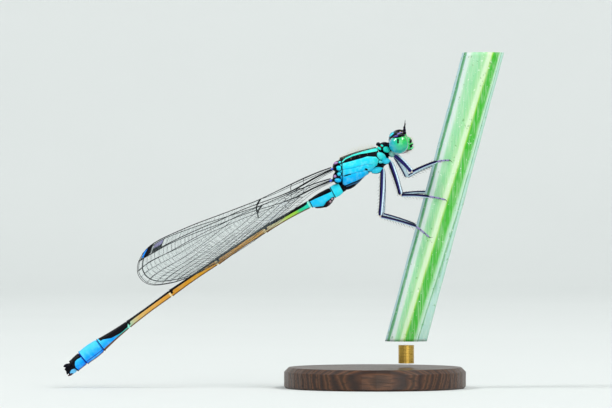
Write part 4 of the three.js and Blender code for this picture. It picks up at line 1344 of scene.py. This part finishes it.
# Long veins: points of share of the length and share of the chord, and radius in mm at the root and beyond
LONG_VEINS = {
    "costa": ([(0, 0), (1, 0)], 0.045, 0.028),
    "subcosta": ([(0, 0.28), (0.08, 0.22), (0.2, 0.12), (0.32, 0.05), (NODUS, 0.0)], 0.016, 0.012),
    "radius": (
        [(0, 0.5), (0.08, 0.4), (0.14, 0.38), (ARCULUS, 0.36), (0.25, 0.26), (0.32, 0.17), (NODUS, 0.12),
         (0.6, 0.11), (0.85, 0.12), (0.94, 0.13), (1, 0.09)], 0.065, 0.028,
    ),
    "radius_1": ([(0.3, 0.25), (NODUS, 0.2), (0.6, 0.19), (0.85, 0.22), (1, 0.2)], 0.02, 0.019),
    "between_1": ([(0.6, 0.23), (0.7, 0.27), (0.88, 0.29), (1, 0.27)], 0.007, 0.007),
    "radius_2": ([(0.52, 0.22), (0.6, 0.28), (0.75, 0.35), (1, 0.36)], 0.012, 0.01),
    "between_2": ([(0.66, 0.38), (0.8, 0.43), (1, 0.44)], 0.007, 0.007),
    "radius_3": ([(0.36, 0.24), (0.46, 0.35), (0.6, 0.43), (0.8, 0.49), (1, 0.52)], 0.012, 0.01),
    "between_3": ([(0.56, 0.46), (0.7, 0.55), (0.85, 0.58), (1, 0.6)], 0.007, 0.007),
    "radius_4": (
        [(ARCULUS, 0.42), (0.28, 0.38), (0.4, 0.45), (0.55, 0.55), (0.75, 0.64), (1, 0.68)], 0.016, 0.01,
    ),
    "between_4": ([(0.5, 0.58), (0.7, 0.71), (0.85, 0.75), (1, 0.76)], 0.007, 0.007),
    "media": (
        [(ARCULUS, 0.52), (0.26, 0.5), (NODUS, 0.58), (0.55, 0.7), (0.75, 0.8), (1, 0.85)], 0.016, 0.011,
    ),
    "between_5": ([(0.46, 0.7), (0.6, 0.82), (0.75, 0.9), (1, 0.93)], 0.007, 0.007),
    "cubitus": ([(0, 0.74), (0.15, 0.68), (0.22, 0.68), (0.34, 0.78), (0.5, 0.9), (0.64, 1.0)], 0.016, 0.012),
    "hind_edge": ([(0, 1), (1, 1)], 0.012, 0.014),
}
# Those that cross veins join, from the front edge to the hind edge
VEIN_ORDER = [name for name in LONG_VEINS if name != "subcosta"]
# The vein round the tip, and the cross veins: how far apart, how thick, and the shortest that is drawn
TIP_RADIUS = 0.024
CROSS_STEP = 0.022
CROSS_RADIUS = 0.0056
SHORTEST_CROSS = 0.035
# Single short veins as [share of length, share of chord, the same two at the far end, radius]: two before
# the nodus, the oblique nodus, the arculus, the quadrilateral's ends and one by the root
SHORT_VEINS = [
    (0.14, 0, 0.145, 0.38, 0.02), (0.205, 0, 0.21, 0.32, 0.02), (NODUS, 0, NODUS + 0.01, 0.12, 0.055),
    (NODUS + 0.01, 0.12, NODUS + 0.022, 0.32, 0.042), (ARCULUS, 0.36, ARCULUS, 0.68, 0.026),
    (0.26, 0.4, 0.265, 0.5, 0.018), (0.27, 0.5, 0.285, 0.71, 0.018), (0.05, 0.74, 0.055, 1.0, 0.014),
]


def edge_curve(points):
    """A curve through an edge's points, read by its share of the length."""
    p = np.asarray(points, float)
    p = np.vstack([p[:1], p, p[-1:]])
    t = np.linspace(0, 1, 40, endpoint=False)[:, None]
    spans = []
    for a, b, c, d in zip(p[:-3], p[1:-2], p[2:-1], p[3:]):
        square, cube = 2 * a - 5 * b + 4 * c - d, 3 * b - a - 3 * c + d
        spans.append(0.5 * (2 * b + (c - a) * t + square * t**2 + cube * t**3))
    line = np.vstack([*spans, p[-1:]])
    at = np.concatenate([[0], np.cumsum(np.linalg.norm(np.diff(line, axis=0), axis=1))])

    def read(share):
        return np.stack([np.interp(np.asarray(share) * at[-1], at, line[:, k]) for k in (0, 1)], -1)

    return read


front_edge, outer_edge, hind_edge = (edge_curve(e) for e in (FRONT_EDGE, OUTER_EDGE, HIND_EDGE))


def in_wing(u, f):
    """The point at share u of the length and share f from the front edge to the hind edge."""
    u, f = np.broadcast_arrays(np.asarray(u, float), np.asarray(f, float))
    corners = (FRONT_EDGE[0], HIND_EDGE[0], FRONT_EDGE[-1], HIND_EDGE[-1])
    a, b, tip, heel = (np.array(corner, float) for corner in corners)
    g, w = f[..., None], u[..., None]
    root = a + (b - a) * g
    flat = (1 - w) * ((1 - g) * a + g * b) + w * ((1 - g) * tip + g * heel)
    return (1 - g) * front_edge(u) + g * hind_edge(u) + (1 - w) * root + w * outer_edge(f) - flat


def on_wing(spec, side, flat, lift=0.0):
    """Points of the wing's plane in the insect's frame, lifted out by lift mm."""
    s, t = flat[..., 0] * spec["scale"], flat[..., 1] * spec["scale"]
    fall = math.radians(spec["fall"])
    blade = spec["hinge"] + (spec["outward"] + WING_LEAN * t - spec["hinge"]) * ease(s, 0, 1.9)
    x = spec["root"][0] - s * math.cos(fall) + t * math.sin(fall)
    z = spec["root"][1] - s * math.sin(fall) - t * math.cos(fall)
    return np.stack([x, side * (blade + lift), z], -1)


def vein_share(name, u):
    shape = np.array(LONG_VEINS[name][0])
    return through(shape[:, 0], shape[:, 1], u)


def corrugation(u, f):
    """How far the membrane is folded out between its veins, in mm."""
    ridge = 0.05 * np.cos(f * 30) * (1 - 0.4 * u)
    return ridge * ease(f, 0.0, 0.08) * ease(-f, -1, -0.9)


def membrane(spec, side):
    rows, cols = 150, 46
    u, f = np.broadcast_arrays(np.linspace(0, 1, rows)[:, None], np.linspace(0, 1, cols)[None])
    points = on_wing(spec, side, in_wing(u, f), corrugation(u, f)).reshape(-1, 3)
    k = np.arange(rows - 1)[:, None] * cols + np.arange(cols - 1)[None]
    return points, np.stack([k, k + 1, k + cols + 1, k + cols], -1).reshape(-1, 4).tolist()


def cross_veins(stigma, draw):
    """The short veins between the long ones: each reaches from one to the next that runs there."""
    lines = []
    spans = {v: (LONG_VEINS[v][0][0][0], LONG_VEINS[v][0][-1][0]) for v in VEIN_ORDER}
    for n, upper in enumerate(VEIN_ORDER[:-1]):
        first = max(spans[upper][0], 0.2 if n else NODUS + 0.02)
        for u in np.arange(first + CROSS_STEP * draw.uniform(0.4, 0.9), spans[upper][1] - 0.012, CROSS_STEP):
            if n == 0 and stigma[0] - 0.01 < u < stigma[1] + 0.01:
                continue
            u = u + draw.uniform(-0.25, 0.25) * CROSS_STEP
            skew = draw.uniform(-0.003, 0.003)
            lower = next(v for v in VEIN_ORDER[n + 1 :] if spans[v][0] <= u + skew <= spans[v][1])
            ends = vein_share(upper, np.array([u]))[0], vein_share(lower, np.array([u + skew]))[0]
            if ends[1] - ends[0] > SHORTEST_CROSS:
                lines.append((np.linspace(u, u + skew, 4), np.linspace(*ends, 4), np.full(4, CROSS_RADIUS)))
    return lines


def wing_lines(stigma, draw):
    """Every vein as (shares of length, shares of chord, radius)."""
    lines = []
    for name, (shape, root_radius, radius) in LONG_VEINS.items():
        u = np.linspace(shape[0][0], shape[-1][0], 70)
        lines.append((u, vein_share(name, u), root_radius + (radius - root_radius) * ease(u, 0.14, 0.3)))
    lines.append((np.ones(60), np.linspace(0, 1, 60), np.full(60, TIP_RADIUS)))
    lines += cross_veins(stigma, draw)
    stigma_ends = [(end, 0, end - 0.006, 0.12, 0.026) for end in stigma]
    for u0, f0, u1, f1, r in (*SHORT_VEINS, *stigma_ends):
        lines.append((np.linspace(u0, u1, 6), np.linspace(f0, f1, 6), np.full(6, r)))
    return lines


def veins(spec, side):
    parts = []
    for u, f, r in wing_lines(spec["stigma"], np.random.default_rng(12 + side)):
        path = on_wing(spec, side, in_wing(u, f), corrugation(u, f))
        parts.append((*skin(tube_rings(path, r, 5)), {}))
    return joined(parts)


def stigma_piece(pair, name, side):
    """The dark spot near the wing's tip: a thickened cell between the costa and the radius."""
    spec = WINGS[pair]
    rows, half = 18, 7
    start, end = spec["stigma"]
    edge = np.sin(np.linspace(0, math.pi, half))
    rings = []
    for share in np.linspace(0, 1, rows):
        u = start + (end - start) * share
        closing = 0.75 + 0.25 * math.sqrt(math.sin(math.pi * (0.05 + 0.9 * share)))
        f = np.linspace(0.06 * (1 - closing), 1, half) * vein_share("radius", np.array([u]))[0] * closing
        flat = in_wing(u - 0.05 * f, f)
        lift = 0.012 + 0.05 * edge * closing
        under = on_wing(spec, side, flat, -lift)[::-1][1:-1]
        rings.append(np.vstack([on_wing(spec, side, flat, lift), under]))
    points, faces = skin(rings)
    share = np.concatenate([np.repeat(np.linspace(0, 1, rows), len(rings[0])), [0, 1]])
    down = np.concatenate([np.linspace(0, 1, half), np.linspace(1, 0, half)[1:-1]])
    down = np.concatenate([np.tile(down, rows), [0.5, 0.5]])
    mark = share - 0.52 - 0.2 * down if pair == "forewing" else (down - 0.55) * 0.4
    one, other, ink, bloom = STIGMA_TONES[pair]
    look = shell(name + "_spot", clouded(5.0, one, other), (("mark", ink),), bloom=bloom)
    piece(name + "_stigma", points, faces, look, {"mark": mark}, ())


def wing_materials():
    clear = Shade("membrane_clear", IOR=1.5, Roughness=0.2, Alpha=0.07, Thin_Film_Thickness=380.0)
    clear.set(Base_Color=clear.mix(clear.noise(1.1, 4.0), "#a8bcc0", "#d4e0dc"))
    clear.bump(clear.noise(3.0, 2.0), 0.01)
    horn = {"IOR": 1.5, "Roughness": 0.4, "Specular_IOR_Level": 0.15}
    return clear.mat, two_tone("vein_horn", 3.0, "#040508", "#121316", **horn).mat


def wing(pair, name, clear, dark):
    side = SIDES[name]
    whole = f"{pair}_{name}"
    points, faces = membrane(WINGS[pair], side)
    piece(whole + "_membrane", points, faces, clear, None, (whole,))
    points, faces, _ = veins(WINGS[pair], side)
    piece(whole + "_veins", points, faces, dark, None, ())
    stigma_piece(pair, whole, side)


# Stem: its lower cut, height, lean and half width and depth in mm
STEM_FOOT = (2.4, 3.6)
STEM_HEIGHT = 22.2
STEM_LEAN = math.radians(15)
STEM_HALF = (1.56, 1.15)
# Where each stripe starts across the stem at half its height, from its left edge, and its colour; the
# middle ones drift to the right up the stem, by this share of its width for each mm
STRIPES = [
    (0.0, "#a4c8d2"), (0.04, "#b8dadc"), (0.06, "#2f9052"), (0.1, "#54ac74"), (0.125, "#d4e2e2"),
    (0.2, "#cfe4d6"), (0.24, "#9cdaa8"), (0.34, "#8ed498"), (0.43, "#a0da98"), (0.48, "#d0eac4"),
    (0.555, "#cce8b4"), (0.585, "#8ccc3c"), (0.615, "#2fb01e"), (0.77, "#44b434"), (0.81, "#96d098"),
    (0.87, "#bcdecb"), (0.895, "#5aa468"), (0.92, "#b0d6cc"), (1.0, "#98c8ac"),
]
STRIPE_DRIFT = 0.0124
# Each cut end is a pale rim round sunken pith: rings by share of its width, and how deep they lie in mm
CUT_RINGS = [(0.94, 0.03), (0.82, 0.06), (0.6, 0.1), (0.3, 0.12)]
# Where on the stripes the cut ends take their green from
CUT_STRIPE = 0.3


def with_ends(sides, value):
    """A field over the stem's side, as one over its whole skin that has that value on its cut ends."""
    end = np.full((len(CUT_RINGS), sides.shape[1]), value)
    return np.append(np.vstack([end, sides, end]).ravel(), [value, value])


def stem_look():
    """Waxy plant skin in stripes, flecked and streaked along the stem, with pith at its cuts."""
    s = Shade("stem_skin_wax", IOR=1.45, Specular_IOR_Level=0.4, Subsurface_Weight=0.1)
    s.bsdf.inputs["Subsurface Scale"].default_value = 0.4 * MM
    grain = s.noise(1.2, 3.0, (1, 1, 0.06))
    place = s.sum(s.field("across"), s.between(grain, 0.3, 0.7, (-0.01, 0.01)))
    streak = s.noise(9.0, 2.0, (1, 1, 0.05))
    colour = s.mix(s.between(streak, 0.42, 0.66, (0.0, 0.25)), s.ramp(place, STRIPES), "#e4ecd8")
    colour = s.mix(s.between(s.noise(3.2, 2.0), 0.66, 0.72, (0.0, 0.5)), colour, "#4c9038")
    colour = s.mix(s.between(s.noise(6.5, 1.0), 0.7, 0.74, (0.0, 0.6)), colour, "#f0f6ec")
    pith = s.mix(s.between(s.cells(5.0), 0.1, 0.5), "#a8c88c", "#dce8c0")
    colour = s.mix(s.between(s.field("cut"), -0.1, 0.1), colour, pith)
    s.set(Base_Color=colour, Roughness=s.between(streak, 0.3, 0.7, (0.4, 0.58)))
    return s.bump(streak, 0.02).mat


def stem():
    rows, cols = 90, 220
    rise = np.linspace(0, STEM_HEIGHT, rows)[:, None]
    a = turns(cols)[None]
    ribs = 1 - 0.035 * (0.5 + 0.5 * np.cos(9 * a)) - 0.006 * np.cos(54 * a)
    wander = 1 + 0.004 * np.sin(rise * 1.3) + 0.003 * np.sin(rise * 2.9 + 1)
    across = ribs * wander * np.cos(a)
    x = STEM_FOOT[0] + rise * math.tan(STEM_LEAN) + STEM_HALF[0] / math.cos(STEM_LEAN) * across
    y = STEM_HALF[1] * ribs * wander * np.sin(a)
    sides = np.stack([x, y, STEM_FOOT[1] + rise + 0 * a], -1)
    cuts = []
    for ring, up in ((sides[0], 1), (sides[-1], -1)):
        middle = ring.mean(0)
        cuts.append([middle + (ring - middle) * share + [0, 0, up * sunk] for share, sunk in CUT_RINGS])
    points, faces = skin([*cuts[0][::-1], *sides, *cuts[1]])
    share = 0.5 + 0.5 * across / np.abs(across).max()
    middle_stripes = ease(share, 0.2, 0.4) * ease(-share, -0.95, -0.8)
    share = share - STRIPE_DRIFT * (rise - STEM_HEIGHT / 2) * middle_stripes
    fields = {"across": with_ends(share, CUT_STRIPE), "cut": with_ends(0 * share - 1, 1.0)}
    piece("perch_stem_skin", points, faces, stem_look(), fields, ("perch_stem",))


def stand():
    """Oiled walnut for the base, and brushed brass for the rod."""
    wood = Shade("walnut_oiled", Specular_IOR_Level=0.4, Coat_Weight=0.2, Coat_Roughness=0.25)
    grain = wood.rings(0.5, 5.0, (0.16, 1.2, 0.9))
    pores = wood.noise(5.0, 3.0, (0.12, 1.5, 1.5))
    tone = wood.ramp(grain, [(0, "#2a170d"), (0.45, "#472a18"), (0.8, "#5d3a22"), (1, "#35200f")])
    tone = wood.mix(wood.between(pores, 0.56, 0.68, (0.0, 0.7)), tone, "#1a0e07")
    wood.set(Base_Color=tone, Roughness=wood.between(pores, 0.3, 0.7, (0.34, 0.52))).bump(pores, 0.03)
    brass = Shade("brass_brushed", Metallic=1.0)
    lines = brass.noise(14.0, 2.0, (0.06, 0.06, 2.0))
    rough = brass.between(lines, 0.3, 0.7, (0.22, 0.38))
    brass.set(Base_Color=brass.mix(lines, "#a8812f", "#dcb85e"), Roughness=rough).bump(lines, 0.008)
    for node, made in (("stand_base", wood), ("stand_rod", brass)):
        thing = frame["nodes"][node]
        thing.data.materials.clear()
        thing.data.materials.append(made.mat)


head()
thorax_fuzz()
for each_name in SIDES:
    eye(each_name)
    antenna(each_name)
for pair in LEGS:
    for each_name in SIDES:
        leg(pair, each_name)
clear_membrane, vein_horn = wing_materials()
for pair in WINGS:
    for each_name in SIDES:
        wing(pair, each_name, clear_membrane, vein_horn)
stem()
stand()
